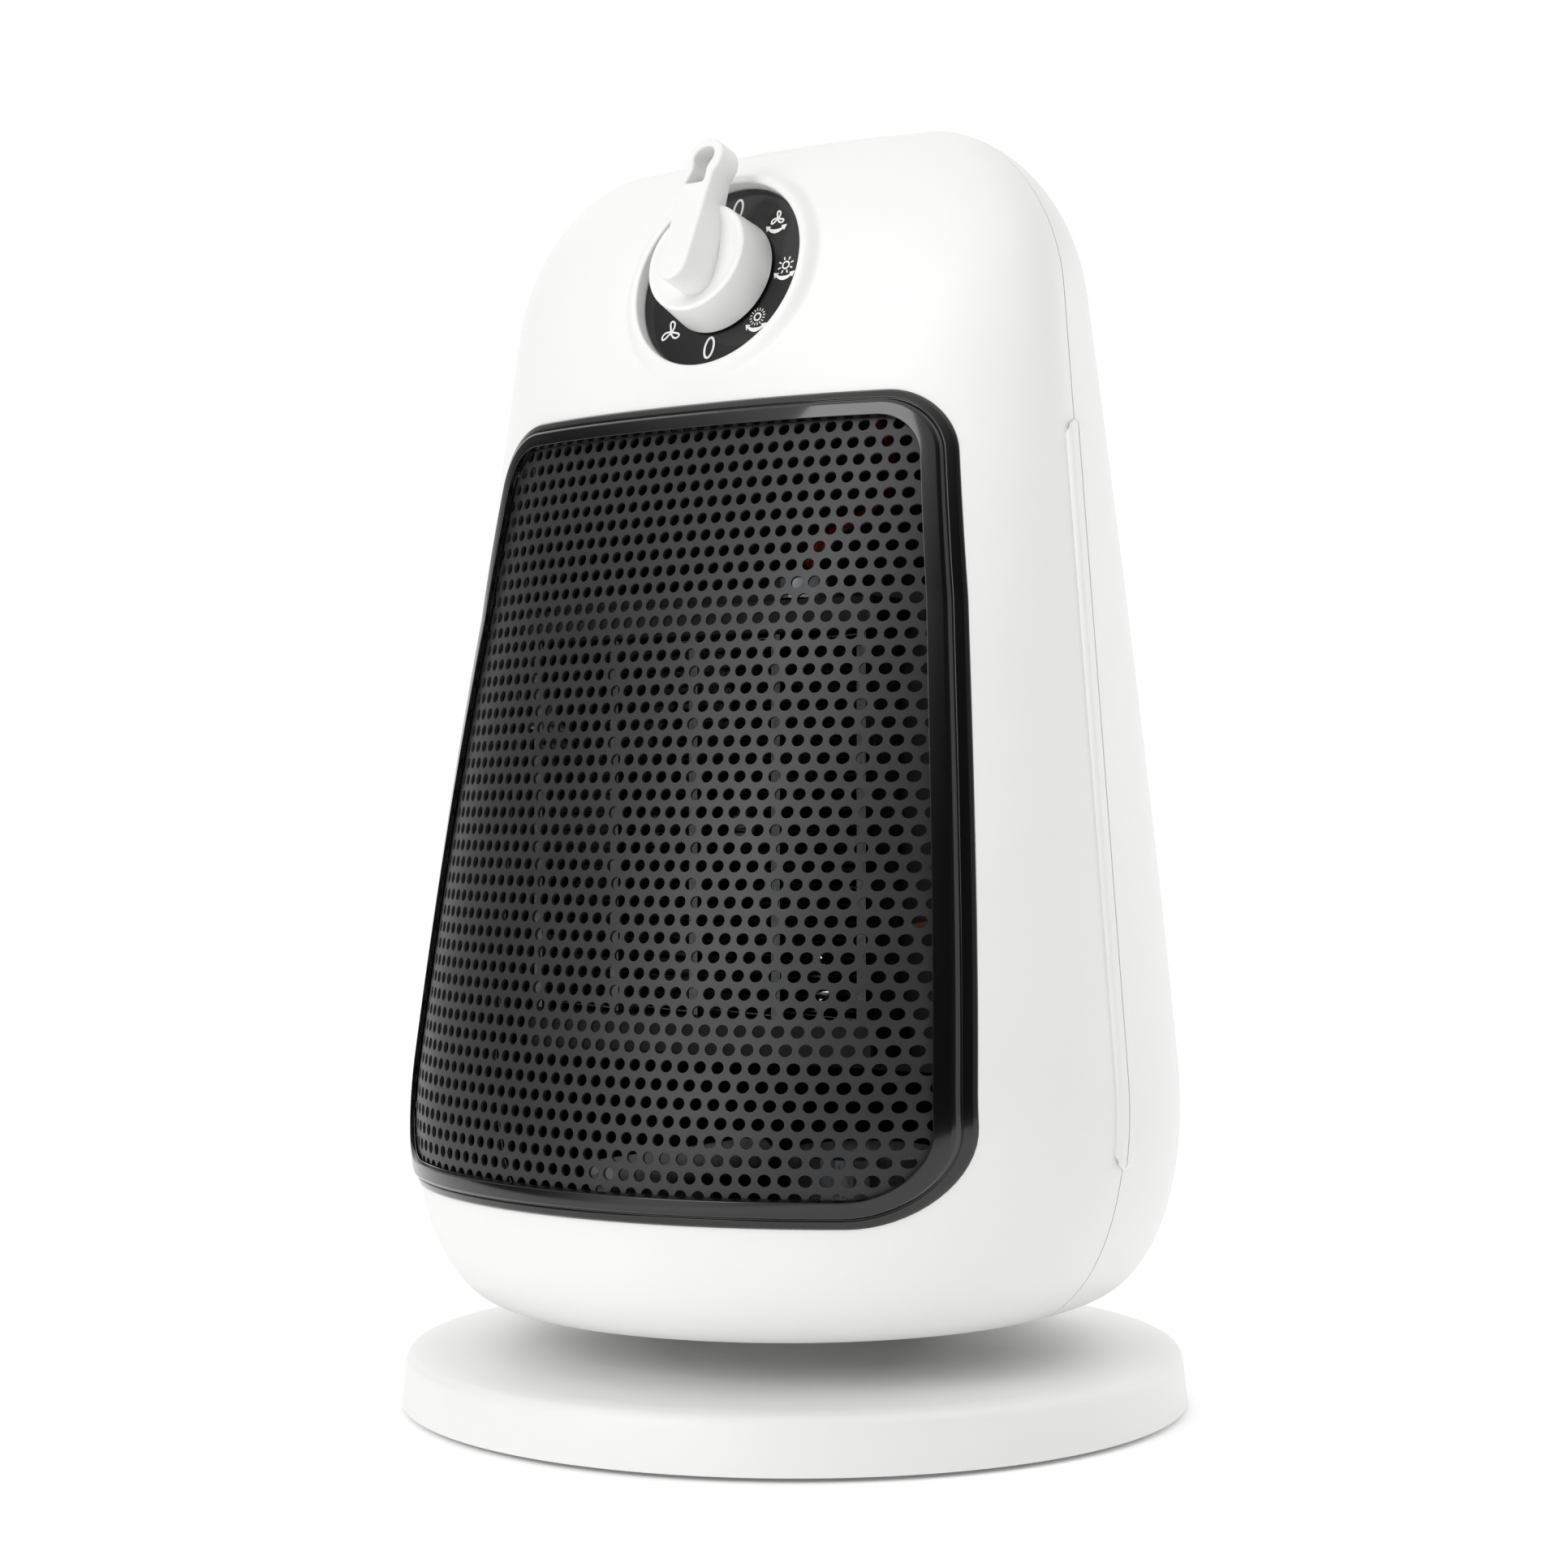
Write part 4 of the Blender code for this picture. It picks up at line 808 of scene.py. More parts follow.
@dataclass
class Casing:
    """Front and rear shells with their side pads, screw wells, air slots and the dial's surround."""

    shop: Workshop
    wall: float = 0.0020
    seam_gap: float = 0.00042
    columns: int = 132
    rows: int = 120
    opening_inset: float = 0.0034
    screws: tuple[Point2, ...] = ((0.0802, 0.173), (0.042, 0.281), (0.062, 0.052))
    well_radius: float = 0.0037
    well_wall: float = 0.0012
    shank_radius: float = 0.0016
    slots: int = 10
    slot_low: float = 0.0970
    slot_pitch: float = 0.0110
    slot_half: float = 0.0440
    slot_half_height: float = 0.002
    rear_reach: float = 0.120
    pad_low: float = 0.066
    pad_high: float = 0.2435
    pad_half: float = 0.0040
    pad_rise: float = 0.0014

    def skin(self, half: Half) -> bmesh.types.BMesh:
        """Make one half's outer skin, from the neck's hole up to the crown.

        Args:
            half: Which half.

        Returns:
            The open skin, facing outwards.
        """
        under, crown = 5, 4
        levels = self.rows - under - crown
        shift = self.seam_gap / 2
        lean = math.asin(FORM.seam_y / FORM.neck) * half.value

        def place(u: float, v: float) -> Vector:
            row = round(v * self.rows)
            turn = math.pi * u
            if row < under:
                rim = FORM.ring_point(turn, FORM.floor, half, shift)
                angle = lean + (math.pi - 2 * lean) * u
                reach = FORM.neck * math.sin(angle)
                hole = Vector((FORM.neck * math.cos(angle), half.value * reach, FORM.floor))
                rim_y = half.value * (FORM.seam_y + half.value * shift)
                hole.y = half.value * max(half.value * hole.y, rim_y)
                return hole.lerp(rim, row / under)
            if row > under + levels:
                share = (row - under - levels) / crown
                rim = FORM.ring_point(turn, FORM.top, half, shift)
                peak = Vector((0.0, FORM.seam_y + half.value * shift, FORM.top))
                spot = rim.lerp(peak, share)
                spot.z += FORM.crown * (1 - (1 - share) ** 2)
                return spot
            share = (1 - math.cos(math.pi * (row - under) / levels)) / 2
            return FORM.ring_point(turn, FORM.floor + (FORM.top - FORM.floor) * share, half, shift)

        work = bent_grid(self.columns, self.rows, place)
        bmesh.ops.recalc_face_normals(work, faces=work.faces)
        middle = Vector((0.0, 0.0, 0.16))
        if sum((face.calc_center_median() - middle).dot(face.normal) for face in work.faces) < 0:
            bmesh.ops.reverse_faces(work, faces=work.faces)
        return work

    def build_front(self) -> None:
        """Make the front shell, open behind the frame and the dial."""
        lay_down = Matrix.Rotation(-math.pi / 2, 4, "X")
        window = [(x, -z) for x, z in FRAME.points(self.opening_inset, 0.006, 8)]
        cutters = [prism(window, -0.15, -0.012, lay_down),
                   prism(circle(DIAL.radius + 0.0008, 72), -0.012, 0.012, DIAL.matrix)]
        # Its inner faces are painted dead black as shade, so the openings look dark.
        self.shop.piece("front_shell", carved(self.skin(Half.FRONT), self.wall, cutters, 1), WHITE_ABS,
                        Body.HOUSING, "white_abs", ["front_casing"], inner_shade=INSIDE_SHADE_PAINT)

    def build_rear(self) -> None:
        """Make the rear shell with its air slots and open screw wells."""
        to_rear = Matrix.Rotation(-math.pi / 2, 4, "X")
        cutters = []
        for i in range(self.slots):
            z = self.slot_low + self.slot_pitch * i
            wide, high = self.slot_half, self.slot_half_height
            ends = softened([(-wide, -z - high, high), (wide, -z - high, high), (wide, -z + high, high),
                             (-wide, -z + high, high)], 6, True)
            cutters.append(prism(ends, 0.030, self.rear_reach, to_rear))
        for x, z in self.screws:
            for side in (-1, 1):
                bore = circle(self.well_radius, 28, (side * x, -z))
                cutters.append(prism(bore, FORM.seam_y + 0.006, self.rear_reach, to_rear))
        # Its inner faces are painted dead black as shade, so the slots and screw bores look dark.
        self.shop.piece("rear_shell", carved(self.skin(Half.REAR), self.wall, cutters, 1), WHITE_ABS,
                        Body.HOUSING, "white_abs", ["rear_casing"], inner_shade=INSIDE_SHADE_PAINT)

    def build_wells(self) -> None:
        """Make the tubes that lead down to the casing screws."""
        shapes = []
        steps = 28
        outer = self.well_radius + self.well_wall
        ledge, foot = FORM.seam_y + 0.003, FORM.seam_y + 0.0014
        section = ((outer, None), (self.well_radius, None), (self.well_radius, ledge),
                   (self.shank_radius, ledge), (self.shank_radius, foot), (outer, foot))
        for x, z in self.screws:
            for side in (-1, 1):
                rings = []
                for radius, lift in section:
                    ring = []
                    for px, pz in circle(radius, steps, (side * x, z)):
                        mouth = FORM.y_at(px, pz, Half.REAR) - 0.0006
                        ring.append(Vector((px, mouth if lift is None else lift, pz)))
                    rings.append(ring)
                shapes.append(swept(rings))
        self.shop.piece("screw_wells", joined(*shapes), WHITE_ABS, Body.HOUSING, "white_abs")

    def build_pads(self) -> None:
        """Make the low rounded pad along each seam, in a front and a rear half."""
        length = self.pad_high - self.pad_low
        along, across = 90, 8

        def shape(side: int, half: Half) -> bmesh.types.BMesh:
            def place(u: float, v: float) -> Vector:
                run = v * length
                end = min(run, length - run, self.pad_half)
                wide = math.sqrt(max(self.pad_half ** 2 - (self.pad_half - end) ** 2, 0.0))
                z = self.pad_low + run
                inner = self.seam_gap / 2
                out = inner + max(wide - inner, 0.0) * u
                edge = min(self.pad_half - out, end)
                lift = self.pad_rise * math.sqrt(max(1 - (1 - min(edge / 0.0011, 1.0)) ** 2, 0.0))
                share = out / (FORM.depth(z, half) - half.value * FORM.seam_y)
                power = FORM.power(z, half)
                surface = FORM.half_width(z) * (1 - share ** power) ** (1 / power)
                return Vector((side * (surface - 0.0003 + lift), FORM.seam_y + half.value * out, z))

            def eased(u: float, v: float) -> Vector:
                run = math.cos(math.pi * v)
                return place(1 - (1 - u) ** 2, 0.5 - 0.5 * math.copysign(abs(run) ** 0.8, run))

            work = bent_grid(across, along, eased)
            bmesh.ops.recalc_face_normals(work, faces=work.faces)
            if sum(face.normal.x * side for face in work.faces) < 0:
                bmesh.ops.reverse_faces(work, faces=work.faces)
            return carved(work, 0.0008, [])

        for side, label in ((-1, "left"), (1, "right")):
            work = joined(shape(side, Half.FRONT), shape(side, Half.REAR))
            self.shop.piece(f"side_pad_{label}", work, WHITE_ABS, Body.HOUSING, "white_abs", crisp=50)

    def build_surround(self) -> None:
        """Make the dial's cup and the soft ring that flows from it into the panel."""
        steps = 128
        radius = DIAL.radius
        flat = [(0.0076, DIAL.floor - 0.0016), (0.0076, DIAL.floor), (radius - 0.0003, DIAL.floor),
                (radius, DIAL.floor + 0.0003), (radius, -0.0006), (radius + 0.00015, -0.00025),
                (radius + 0.00045, -0.00003), (radius + 0.0008, 0.0)]
        blend_from, blend_to = radius + 0.0013, radius + 0.0078
        back_radius, back = radius + 0.003, DIAL.floor - 0.0016

        def ring(ring_radius: float, height: float, follow: float = 0.0) -> list[Vector]:
            return [DIAL.matrix @ Vector((u, v, height + follow * DIAL.panel_height(u, v)))
                    for u, v in circle(ring_radius, steps)]

        rings = [ring(ring_radius, height) for ring_radius, height in flat]
        for k in range(13):
            share = k / 12
            rings.append(ring(blend_from + (blend_to - blend_from) * share,
                              0.00006 * (1 - share) - 0.00002, smooth(min(share * 1.7, 1.0))))
        rings += [ring(blend_to, -0.0012, 1.0), ring(back_radius, back)]
        self.shop.piece("dial_surround", swept(rings), WHITE_ABS, Body.HOUSING, "white_abs")

    def build(self) -> None:
        """Make every piece of the casing."""
        self.build_front()
        self.build_rear()
        self.build_wells()
        self.build_pads()
        self.build_surround()


@dataclass
class FrontPanel:
    """Stepped glossy frame and the perforated sheet behind it."""

    shop: Workshop
    hole_radius: float = 0.00145
    pitch_x: float = 0.00411
    pitch_z: float = 0.00416
    centre_z: float = 0.1500
    sheet: float = 0.0008
    edge_inset: float = 0.0051
    profile: tuple[tuple[float, float, float], ...] = (
        (0.10, -0.60, 0.0), (0.10, 0.45, 0.25), (0.55, 1.05, 0.35), (2.05, 1.40, 0.2), (2.20, 1.00, 0.1),
        (2.45, 1.00, 0.1), (2.75, 2.15, 0.35), (3.30, 2.50, 0.5), (6.35, 2.30, 0.25),
        (6.75, 0.80, 0.2), (6.90, 0.50, 0.1), (6.80, 0.35, 0.0), (4.80, 0.45, 0.0), (4.80, -3.80, 0.0),
        (3.70, -3.80, 0.0), (3.70, -0.60, 0.0))

    def lay(self, outline: Iterable[Point2], proud: float) -> list[Vector]:
        """Lay an outline (x, z) on the front surface, standing out of it."""
        return [Vector((x, FORM.y_at(x, z) - proud, z)) for x, z in outline]

    def build_frame(self) -> None:
        """Make the stepped frame."""
        corners = [(inset * MM, proud * MM, radius * MM) for inset, proud, radius in self.profile]
        section = softened(corners, 4, True)
        rings = [self.lay(FRAME.points(inset, 0.0036, 16), proud) for inset, proud in section]
        self.shop.piece("front_frame", swept(rings), GLOSS_ABS, Body.HOUSING, "gloss_black", ["front_bezel"])

    def cell(self) -> bmesh.types.BMesh:
        """Make one hole with the square of sheet round it.

        Returns:
            A cell of twelve faces centred on the origin, in the XZ plane.
        """
        wide, high = self.pitch_x / 2, self.pitch_z / 2
        rim = [(wide, 0), (wide, high / 2), (wide, high), (0, high), (-wide, high), (-wide, high / 2),
               (-wide, 0), (-wide, -high / 2), (-wide, -high), (0, -high), (wide, -high), (wide, -high / 2)]
        work = bmesh.new()
        loops = []
        for ring in (rim, circle(self.hole_radius, len(rim))):
            verts = [work.verts.new((x, 0.0, z)) for x, z in ring]
            loops += [work.edges.new((verts[i - 1], verts[i])) for i in range(len(verts))]
        bmesh.ops.bridge_loops(work, edges=loops)
        return work

    def build_grille(self) -> None:
        """Make the perforated sheet, its rows staggered by half a pitch."""
        cell_mesh = mesh_of(self.cell(), "grille_cell")
        work = bmesh.new()
        rows = math.ceil((FRAME.top_z - FRAME.bottom_z) / self.pitch_z / 2)
        columns = math.ceil(FRAME.bottom_half / self.pitch_x)
        for row in range(-rows, rows + 1):
            z = self.centre_z + row * self.pitch_z
            for column in range(-columns - 1, columns + 1):
                x = (column + (0.5 if row % 2 else 0.0)) * self.pitch_x
                if FRAME.encloses(x, z, self.edge_inset - self.pitch_x):
                    before = len(work.verts)
                    work.from_mesh(cell_mesh)
                    work.verts.ensure_lookup_table()
                    bmesh.ops.translate(work, verts=work.verts[before:], vec=(x, 0.0, z))
        bpy.data.meshes.remove(cell_mesh)
        bmesh.ops.remove_doubles(work, verts=work.verts, dist=0.00001)
        for vert in work.verts:
            vert.co.y = FORM.y_at(vert.co.x, vert.co.z) + 0.0001
        bmesh.ops.recalc_face_normals(work, faces=work.faces)
        if sum(face.normal.y for face in work.faces) > 0:
            bmesh.ops.reverse_faces(work, faces=work.faces)
        edge = [(x, -z) for x, z in FRAME.points(self.edge_inset, 0.006, 8)]
        blank = prism(edge, -0.15, 0.0, Matrix.Rotation(-math.pi / 2, 4, "X"))
        self.shop.piece("perforated_grille", carved(work, self.sheet, [], keep=blank), POWDER_STEEL,
                        Body.HOUSING, "grille_black", ["front_grille"], 50)

    def build(self) -> None:
        """Make the frame and the sheet."""
        self.build_frame()
        self.build_grille()


# ---------------------------------------------------------------- control

class Setting(Enum):
    """What a dial position is marked with, clockwise from the top."""

    OFF = "off"
    FAN_SWING = "fan_swing"
    LOW_SWING = "low_swing"
    HIGH_SWING = "high_swing"
    OFF_LOW = "off_low"
    FAN = "fan"
    LOW = "low"
    HIGH = "high"


@dataclass
class DialFace:
    """Glossy plate at the bottom of the recess, with its eight printed marks."""

    shop: Workshop
    ring_radius: float = 0.0189
    line: float = 0.00027
    ink: float = 0.00006

    def oval(self, wide: float, high: float, centre: Point2 = (0.0, 0.0), thick: float = 1.0) -> Mark:
        """Closed oval line, all in millimetres."""
        return ([(centre[0] + wide * math.cos(a), centre[1] + high * math.sin(a), thick)
                 for a in (2 * math.pi * i / 28 for i in range(28))], True)

    def blades(self, size: float, centre: Point2 = (0.0, 0.0)) -> list[Mark]:
        """Three fan blades in outline.

        Args:
            size: Length of a blade in millimetres.
            centre: Where they meet.

        Returns:
            One closed line for each blade.
        """
        lines: list[Mark] = []
        for k in range(3):
            heading = math.radians(80 + 120 * k)
            loop = []
            for i in range(20):
                a = 2 * math.pi * i / 20
                along = size * (0.5 - 0.5 * math.cos(a))
                side = size * 0.36 * math.sin(a) * (0.25 + 0.75 * along / size)
                bend = 0.22 * size * (along / size) ** 2
                x, y = along, side + bend
                loop.append((centre[0] + x * math.cos(heading) - y * math.sin(heading),
                             centre[1] + x * math.sin(heading) + y * math.cos(heading), 0.9))
            lines.append((loop, True))
        return lines

    def sun(self, rays: int, inner: float, outer: float, centre: Point2) -> list[Mark]:
        """Circle with rays.

        Args:
            rays: How many.
            inner: Where a ray starts, in millimetres from the centre.
            outer: Where it ends.
            centre: The sun's centre.

        Returns:
            The circle and the rays.
        """
        lines = [self.oval(0.95, 0.95, centre, 0.8)]
        for k in range(rays):
            a = 2 * math.pi * (k + 0.5) / rays
            lines.append(([(centre[0] + r * math.cos(a), centre[1] + r * math.sin(a), 9.0 / (rays + 4))
                           for r in (inner, (inner + outer) / 2, outer)], False))
        return lines

    def swing_arrow(self, centre: Point2) -> list[Mark]:
        """Hanging arc with a head at each end.

        Args:
            centre: The middle of its chord, in millimetres.

        Returns:
            The arc and its two heads.
        """
        arc = []
        radius, rise, half_sweep = 3.3, 2.4, 42
        for i in range(11):
            a = math.radians(-90 - half_sweep + 2 * half_sweep * i / 10)
            thick = 1.1 + 1.1 * (1 - abs(i - 5) / 5)
            arc.append((centre[0] + radius * math.cos(a), centre[1] + rise + radius * math.sin(a), thick))
        lines: list[Mark] = [(arc, False)]
        for sign in (-1, 1):
            x, y, _ = arc[0] if sign < 0 else arc[-1]
            lines.append(([(x - sign * 0.1, y - 0.1, 3.4), (x + sign * 0.4, y + 0.3, 1.9),
                           (x + sign * 0.95, y + 0.75, 0.3)], False))
        return lines

    def mark(self, setting: Setting) -> list[Mark]:
        """Lines of one position's mark.

        Args:
            setting: The position.

        Returns:
            Its lines, in millimetres about the mark's own centre.
        """
        if setting in (Setting.OFF, Setting.OFF_LOW):
            return [self.oval(1.35, 2.75, thick=1.15)]
        if setting is Setting.FAN:
            return self.blades(2.9)
        if setting is Setting.LOW:
            return self.sun(8, 1.5, 2.5, (0.0, 0.0))
        if setting is Setting.HIGH:
            return self.sun(14, 1.35, 2.4, (0.0, 0.0))
        above = (0.0, 1.45)
        lines = self.swing_arrow((0.0, -1.15))
        if setting is Setting.FAN_SWING:
            return lines + self.blades(2.0, above)
        if setting is Setting.LOW_SWING:
            return lines + self.sun(8, 1.5, 2.35, above)
        return lines + self.sun(16, 1.65, 2.35, above)

    def build_marks(self) -> None:
        """Print the marks round the dial."""
        curve = bpy.data.curves.new("dial_marks", "CURVE")
        curve.dimensions = "3D"
        curve.bevel_depth = self.line
        curve.bevel_resolution = 1
        curve.use_fill_caps = True
        for number, setting in enumerate(Setting):
            angle = math.radians(45 * number)
            across, up = self.ring_radius * math.sin(angle), self.ring_radius * math.cos(angle)
            for points, closed in self.mark(setting):
                spline = curve.splines.new("POLY")
                spline.points.add(len(points) - 1)
                spline.use_cyclic_u = closed
                for point, (x, y, thick) in zip(spline.points, points):
                    point.co = (across + x * MM, up + y * MM, 0.0, 1.0)
                    point.radius = thick
        made = linked("dial_marks", curve)
        work = settled(made)
        flatten = Matrix.Diagonal((1.0, 1.0, self.ink / self.line, 1.0))
        bmesh.ops.transform(work, matrix=flatten, verts=work.verts)
        place = DIAL.matrix @ Matrix.Translation((0.0, 0.0, DIAL.plate_front))
        bmesh.ops.transform(work, matrix=place, verts=work.verts)
        bmesh.ops.recalc_face_normals(work, faces=work.faces)
        self.shop.piece("dial_marks", work, PRINT_INK, Body.HOUSING, "white_abs")

    def build_plate(self) -> None:
        """Make the glossy plate, with a soft outer edge."""
        rim = DIAL.radius - 0.0003
        back = DIAL.floor + 0.0004
        bore = 0.0080
        profile = softened([(bore, DIAL.plate_front, 0.0), (rim, DIAL.plate_front, 0.0003), (rim, back, 0.0),
                            (bore, back, 0.0)], 4, True)
        self.shop.piece("dial_face", turned(profile, 128, True, DIAL.matrix), GLOSS_ABS, Body.HOUSING,
                        "gloss_black", ["dial_plate"])

    def build(self) -> None:
        """Make the plate and its marks."""
        self.build_plate()
        self.build_marks()


@dataclass
class Knob:
    """Dished round knob with a bar across it that rises to an eyelet."""

    shop: Workshop
    bar_half: float = 0.0045
    bar_low: float = -0.0050
    eye_v: float = 0.0244
    eye_radius: float = 0.0059
    face_low: float = 0.0170
    face_slope: float = 0.0033 / 0.033
    edge: float = 0.0007

    def disc(self) -> bmesh.types.BMesh:
        """Turn the dished disc."""
        profile = softened([(0.0, 0.0054, 0.0), (0.0050, 0.0055, 0.004), (0.0100, 0.0066, 0.004),
                            (0.0128, 0.0084, 0.0012), (0.0136, 0.0089, 0.0005), (0.0144, 0.0084, 0.0006),
                            (0.0152, -0.0026, 0.0003), (0.0149, -0.0029, 0.0), (0.0034, -0.0029, 0.0),
                            (0.0034, 0.0038, 0.0), (0.0, 0.0038, 0.0)], 5)
        return turned(profile, 96)

    def bar_outline(self) -> list[Point2]:
        """Outline of the bar, seen square on.

        Returns:
            The closed outline: round below, waisted under the eyelet.
        """
        def arc(across: float, up: float, middle: float, turn: float) -> Point2:
            return across * math.cos(turn), middle + up * math.sin(turn)

        foot = [arc(self.bar_half, 0.0050, self.bar_low, math.pi + math.pi * i / 16) for i in range(17)]
        waist, start = 0.0155, -40
        eye = [arc(self.eye_radius, self.eye_radius, self.eye_v,
                   math.radians(start + (180 - 2 * start) * i / 33)) for i in range(33)]
        wide, high = eye[0]
        arm = [(self.bar_half + (wide - self.bar_half) * smooth(i / 6), waist + (high - waist) * i / 6)
               for i in range(7)]
        return foot + arm + eye[1:] + [(-x, y) for x, y in reversed(arm)]

    def eyelet(self) -> list[Point2]:
        """Outline of the opening: round above, spreading to a flat foot."""
        points = [(0.0030 * math.cos(a), 0.0250 + 0.0030 * math.sin(a))
                  for a in (math.radians(-35 + 250 * i / 22) for i in range(23))]
        foot = softened([(*points[-1], 0.0), (-0.0023, 0.0212, 0.001), (-0.0034, 0.0176, 0.0004),
                         (0.0022, 0.0176, 0.0009), (0.0019, 0.0215, 0.001), (*points[0], 0.0)], 5)
        return points + foot[1:-1]

    def bar(self) -> bmesh.types.BMesh:
        """Make the bar with its sloping face and raised arm.

        Returns:
            The bar in the dial's own place.
        """
        half = 0.0060
        work = settled(flat_curve("knob_bar", [self.bar_outline(), self.eyelet()], half, self.edge))
        bmesh.ops.remove_doubles(work, verts=work.verts, dist=0.00002)
        for vert in work.verts:
            v = vert.co.y
            face = self.face_low - self.face_slope * (v + 0.010)
            under = 0.0048 + 0.0014 * min(max((v - 0.0138) / 0.0006, 0.0), 1.0)
            edge = half - self.edge
            if vert.co.z > 0.0:
                vert.co.z = face - self.edge + (vert.co.z - edge)
            else:
                vert.co.z = under + self.edge + (vert.co.z + edge)
        return work

    def build(self) -> None:
        """Make the knob."""
        work = joined(self.disc(), self.bar())
        bmesh.ops.transform(work, matrix=DIAL.matrix, verts=work.verts)
        self.shop.piece("pointer_knob", work, WHITE_ABS, Body.KNOB, "white_abs", ["control_knob"], 38)


# ---------------------------------------------------------------- base and inside

@dataclass
class Base:
    """Round base with its neck, and the rubber feet."""

    shop: Workshop
    foot_circle: float = 0.078
    foot_radius: float = 0.0080

    def build_shell(self) -> None:
        """Turn the base's shell."""
        profile = softened([(0.0080, 0.0359, 0.0), (0.0197, 0.0359, 0.0008), (0.0197, 0.0240, 0.0004),
                            (0.0298, 0.0240, 0.0010), (0.0306, 0.0192, 0.0030), (0.0420, 0.0168, 0.0300),
                            (0.0930, 0.0150, 0.0120), (0.0985, 0.0143, 0.0032), (0.1000, 0.0014, 0.0004),
                            (0.0996, 0.0012, 0.0), (0.0977, 0.0012, 0.0), (0.0962, 0.0110, 0.0010),
                            (0.0932, 0.0127, 0.0010), (0.0320, 0.0150, 0.0), (0.0174, 0.0150, 0.0),
                            (0.0174, 0.0259, 0.0), (0.0080, 0.0259, 0.0)], 6, True)
        self.shop.piece("base_cover", turned(profile, 192, True), BASE_ABS, Body.BASE, "white_abs",
                        ["base_shell"])

    def build_feet(self) -> None:
        """Make the four feet."""
        wide, thick = self.foot_radius, 0.00118
        profile = softened([(0.0, thick, 0.0), (wide, thick, 0.0), (wide, 0.0, 0.0005),
                            (0.0055, 0.0, 0.0003), (0.0051, 0.0004, 0.0003), (0.0, 0.0004, 0.0)], 3)
        for number in range(4):
            angle = math.radians(45 + 90 * number)
            across, along = self.foot_circle * math.cos(angle), self.foot_circle * math.sin(angle)
            place = Matrix.Translation((across, along, 0.0))
            self.shop.piece(f"round_foot_{number + 1}", turned(profile, 40, False, place), RUBBER, Body.BASE,
                            "rubber", [f"rubber_foot_{number + 1}"])

    def build(self) -> None:
        """Make the base's pieces."""
        self.build_shell()
        self.build_feet()


@dataclass
class Heater:
    """Folded aluminium fins between the ceramic element strips."""

    shop: Workshop
    folds: int = 44
    foil: float = 0.00022

    def build(self) -> None:
        """Make one fin pack in the place of each of the frame's."""
        for number in range(1, 5):
            node = f"heater_fin_pack_{number}"
            low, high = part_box(node)
            rise = (high[2] - low[2] - self.foil) / (2 * self.folds)
            work = bmesh.new()
            path = []
            for i in range(2 * self.folds + 1):
                x = (low[0] if i % 2 else high[0])
                inward = self.foil if i % 2 else -self.foil
                path.append(work.verts.new((x + inward, low[1], low[2] + self.foil / 2 + rise * i)))
            edges = [work.edges.new(pair) for pair in zip(path, path[1:])]
            swept_geometry = bmesh.ops.extrude_edge_only(work, edges=edges)["geom"]
            moved = [item for item in swept_geometry if isinstance(item, bmesh.types.BMVert)]
            bmesh.ops.translate(work, verts=moved, vec=(0.0, high[1] - low[1], 0.0))
            bmesh.ops.recalc_face_normals(work, faces=work.faces)
            self.shop.piece(f"fin_pack_{number}", carved(work, self.foil, []), ROLLED_ALUMINIUM, Body.HOUSING,
                            "aluminium", [node])


@dataclass
class PlainNodes:
    """The frame's nodes whose shape is right: they keep it and get a procedural finish."""

    paints: Paints
    frame: dict

    def dress(self) -> None:
        """Give each node the finish of its slot."""
        slots = {part["node"]: part["material_slot"] for part in self.frame["record"]["subparts"]}
        for name, node in self.frame["nodes"].items():
            node.data.materials.clear()
            node.data.materials.append(self.paints.of(SLOT_FINISHES[slots[name]]))
            log.info("%s keeps its shape and gets %s", name, slots[name])


# ---------------------------------------------------------------- studio

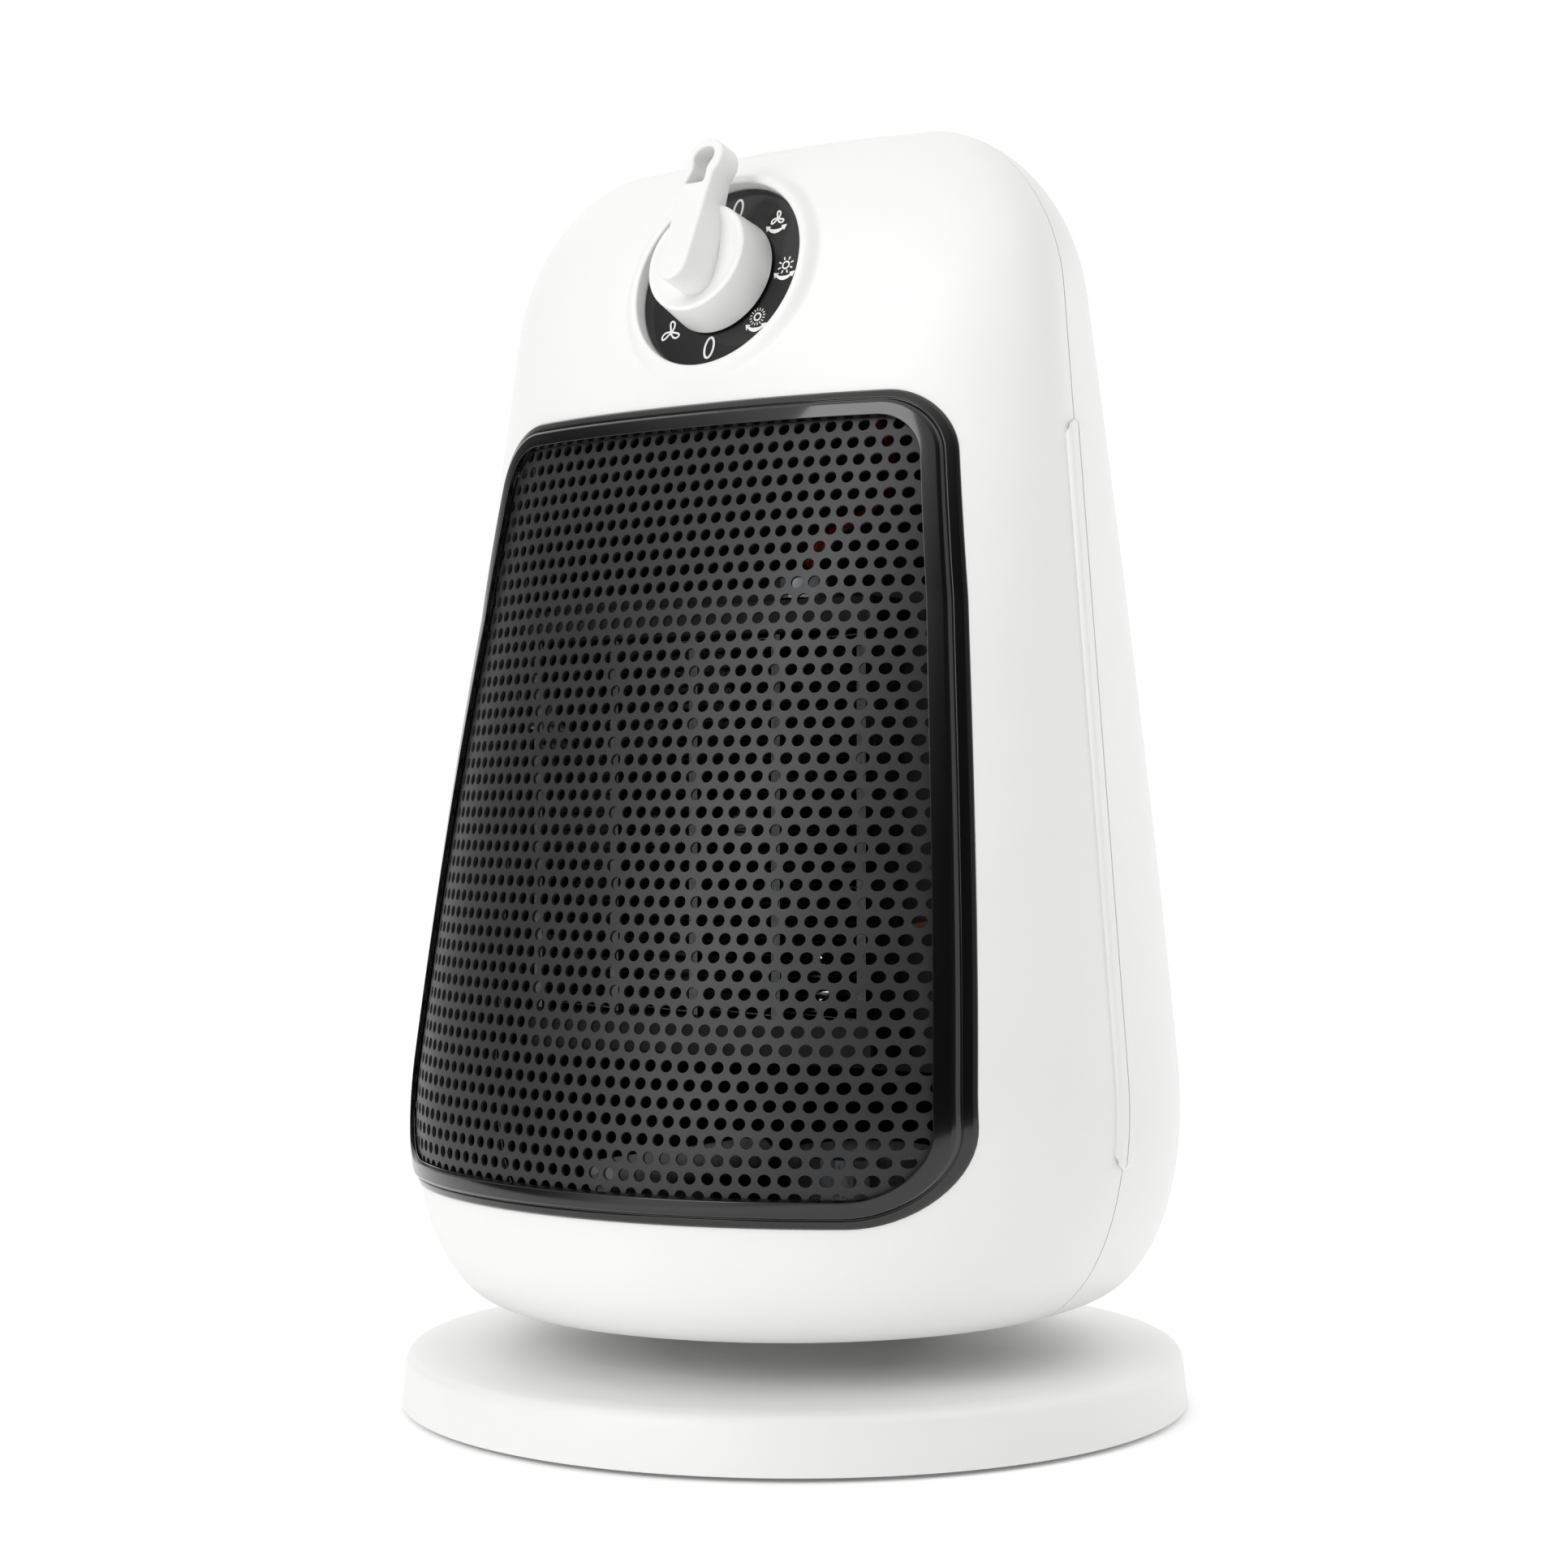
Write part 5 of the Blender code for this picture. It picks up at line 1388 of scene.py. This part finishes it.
@dataclass
class Studio:
    """Pale floor, soft lights and the camera. The floor glows faintly, as a lit acrylic table does."""

    azimuth: float = 0.6356
    distance: float = 0.7677
    height: float = 0.1505
    lens: float = 68.7
    shift: Point2 = (-0.0069, 0.0166)
    sky_level: float = 1.10
    floor_glow: float = 0.13
    flags: tuple[tuple[tuple[float, float, float], float, float], ...] = (
        ((1.0, -0.42, 0.02), 0.36, 0.02), ((-1.0, -0.40, 0.1), 0.62, 0.08))
    lights: tuple[tuple[str, tuple[float, float, float], float, float], ...] = (
        ("key", (-0.2, -2.3, 1.2), 1.2, 16.0), ("rim", (1.2, 2.0, 0.7), 1.0, 4.0))

    def build_floor(self) -> None:
        """Make the wide pale floor."""
        work = bmesh.new()
        bmesh.ops.create_circle(work, cap_ends=True, segments=96, radius=30.0)
        mesh = mesh_of(work, "floor")
        made, tree = blank_material("matt_white_paper")
        place = add_node(tree, "ShaderNodeTexCoord").outputs["Object"]
        fibre = add_node(tree, "ShaderNodeTexNoise", {"Vector": place, "Scale": per_mm(4.0), "Detail": 3.0})
        relief = add_node(tree, "ShaderNodeBump", {"Height": fibre.outputs["Fac"], "Strength": 0.3,
                                                   "Distance": 0.02 * MM})
        shader = add_node(tree, "ShaderNodeBsdfPrincipled",
                          {"Base Color": linear("fdfdfd"), "Roughness": 0.9, "Specular IOR Level": 0.2,
                           "Normal": relief.outputs["Normal"], "Emission Color": linear("ffffff"),
                           "Emission Strength": self.floor_glow})
        add_node(tree, "ShaderNodeOutputMaterial", {"Surface": shader.outputs["BSDF"]})
        mesh.materials.append(made)
        mesh.shade_smooth()
        floor = linked("floor", mesh)

    def build_sky(self) -> None:
        """Make the even white surround, dimmed on both sides as by two large grey flags."""
        world = bpy.data.worlds.new("soft_sky")
        world.use_nodes = True
        tree = world.node_tree
        tree.nodes.clear()
        heading = add_node(tree, "ShaderNodeTexCoord").outputs["Generated"]
        level: bpy.types.NodeSocket | float = self.sky_level
        for direction, spread, dim in self.flags:
            lobe = add_node(tree, "ShaderNodeVectorMath", {0: heading, 1: Vector(direction).normalized()},
                            operation="DOT_PRODUCT")
            shade = add_node(tree, "ShaderNodeMapRange",
                             {"Value": lobe.outputs["Value"], "From Min": spread, "From Max": 1.0,
                              "To Min": 1.0, "To Max": dim}, interpolation_type="SMOOTHSTEP")
            product = add_node(tree, "ShaderNodeMath", {0: shade.outputs["Result"], 1: level},
                               operation="MULTIPLY")
            level = product.outputs[0]
        sky = add_node(tree, "ShaderNodeBackground", {"Color": linear("ffffff"), "Strength": level})
        add_node(tree, "ShaderNodeOutputWorld", {"Surface": sky.outputs["Background"]})
        bpy.context.scene.world = world

    def add_light(self, name: str, place: tuple[float, float, float], size: float, power: float) -> None:
        """Add a soft square light aimed at the body.

        Args:
            name: The light's name.
            place: Where it hangs.
            size: Its side.
            power: Its power in watts.
        """
        light = bpy.data.lights.new(name, "AREA")
        light.size = size
        light.energy = power
        made = linked(name, light)
        made.location = place
        made.rotation_euler = (Vector((0.0, 0.0, 0.15)) - Vector(place)).to_track_quat("-Z", "Y").to_euler()
        made.visible_camera = False

    def build(self) -> None:
        """Set up the floor, the lights, the sky and the camera."""
        self.build_floor()
        for name, place, size, power in self.lights:
            self.add_light(name, place, size, power)
        self.build_sky()
        camera = bpy.data.cameras.new("camera")
        camera.lens = self.lens
        camera.sensor_width = 36.0
        camera.shift_x, camera.shift_y = self.shift
        camera.clip_start = 0.01
        made = linked("camera", camera)
        across, back = self.distance * math.sin(self.azimuth), self.distance * math.cos(self.azimuth)
        made.location = (across, -back, self.height)
        made.rotation_euler = (math.pi / 2, 0.0, self.azimuth)
        bpy.context.scene.camera = made
        bpy.context.scene.view_settings.view_transform = "Standard"


def main() -> None:
    """Build every piece in order."""
    logging.basicConfig(level=logging.INFO, format="%(name)s: %(message)s")
    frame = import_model()
    shop = Workshop(Paints())
    Studio().build()
    PlainNodes(shop.paints, frame).dress()
    Base(shop).build()
    Casing(shop).build()
    FrontPanel(shop).build()
    DialFace(shop).build()
    Knob(shop).build()
    Heater(shop).build()


if __name__ == "__main__":
    main()
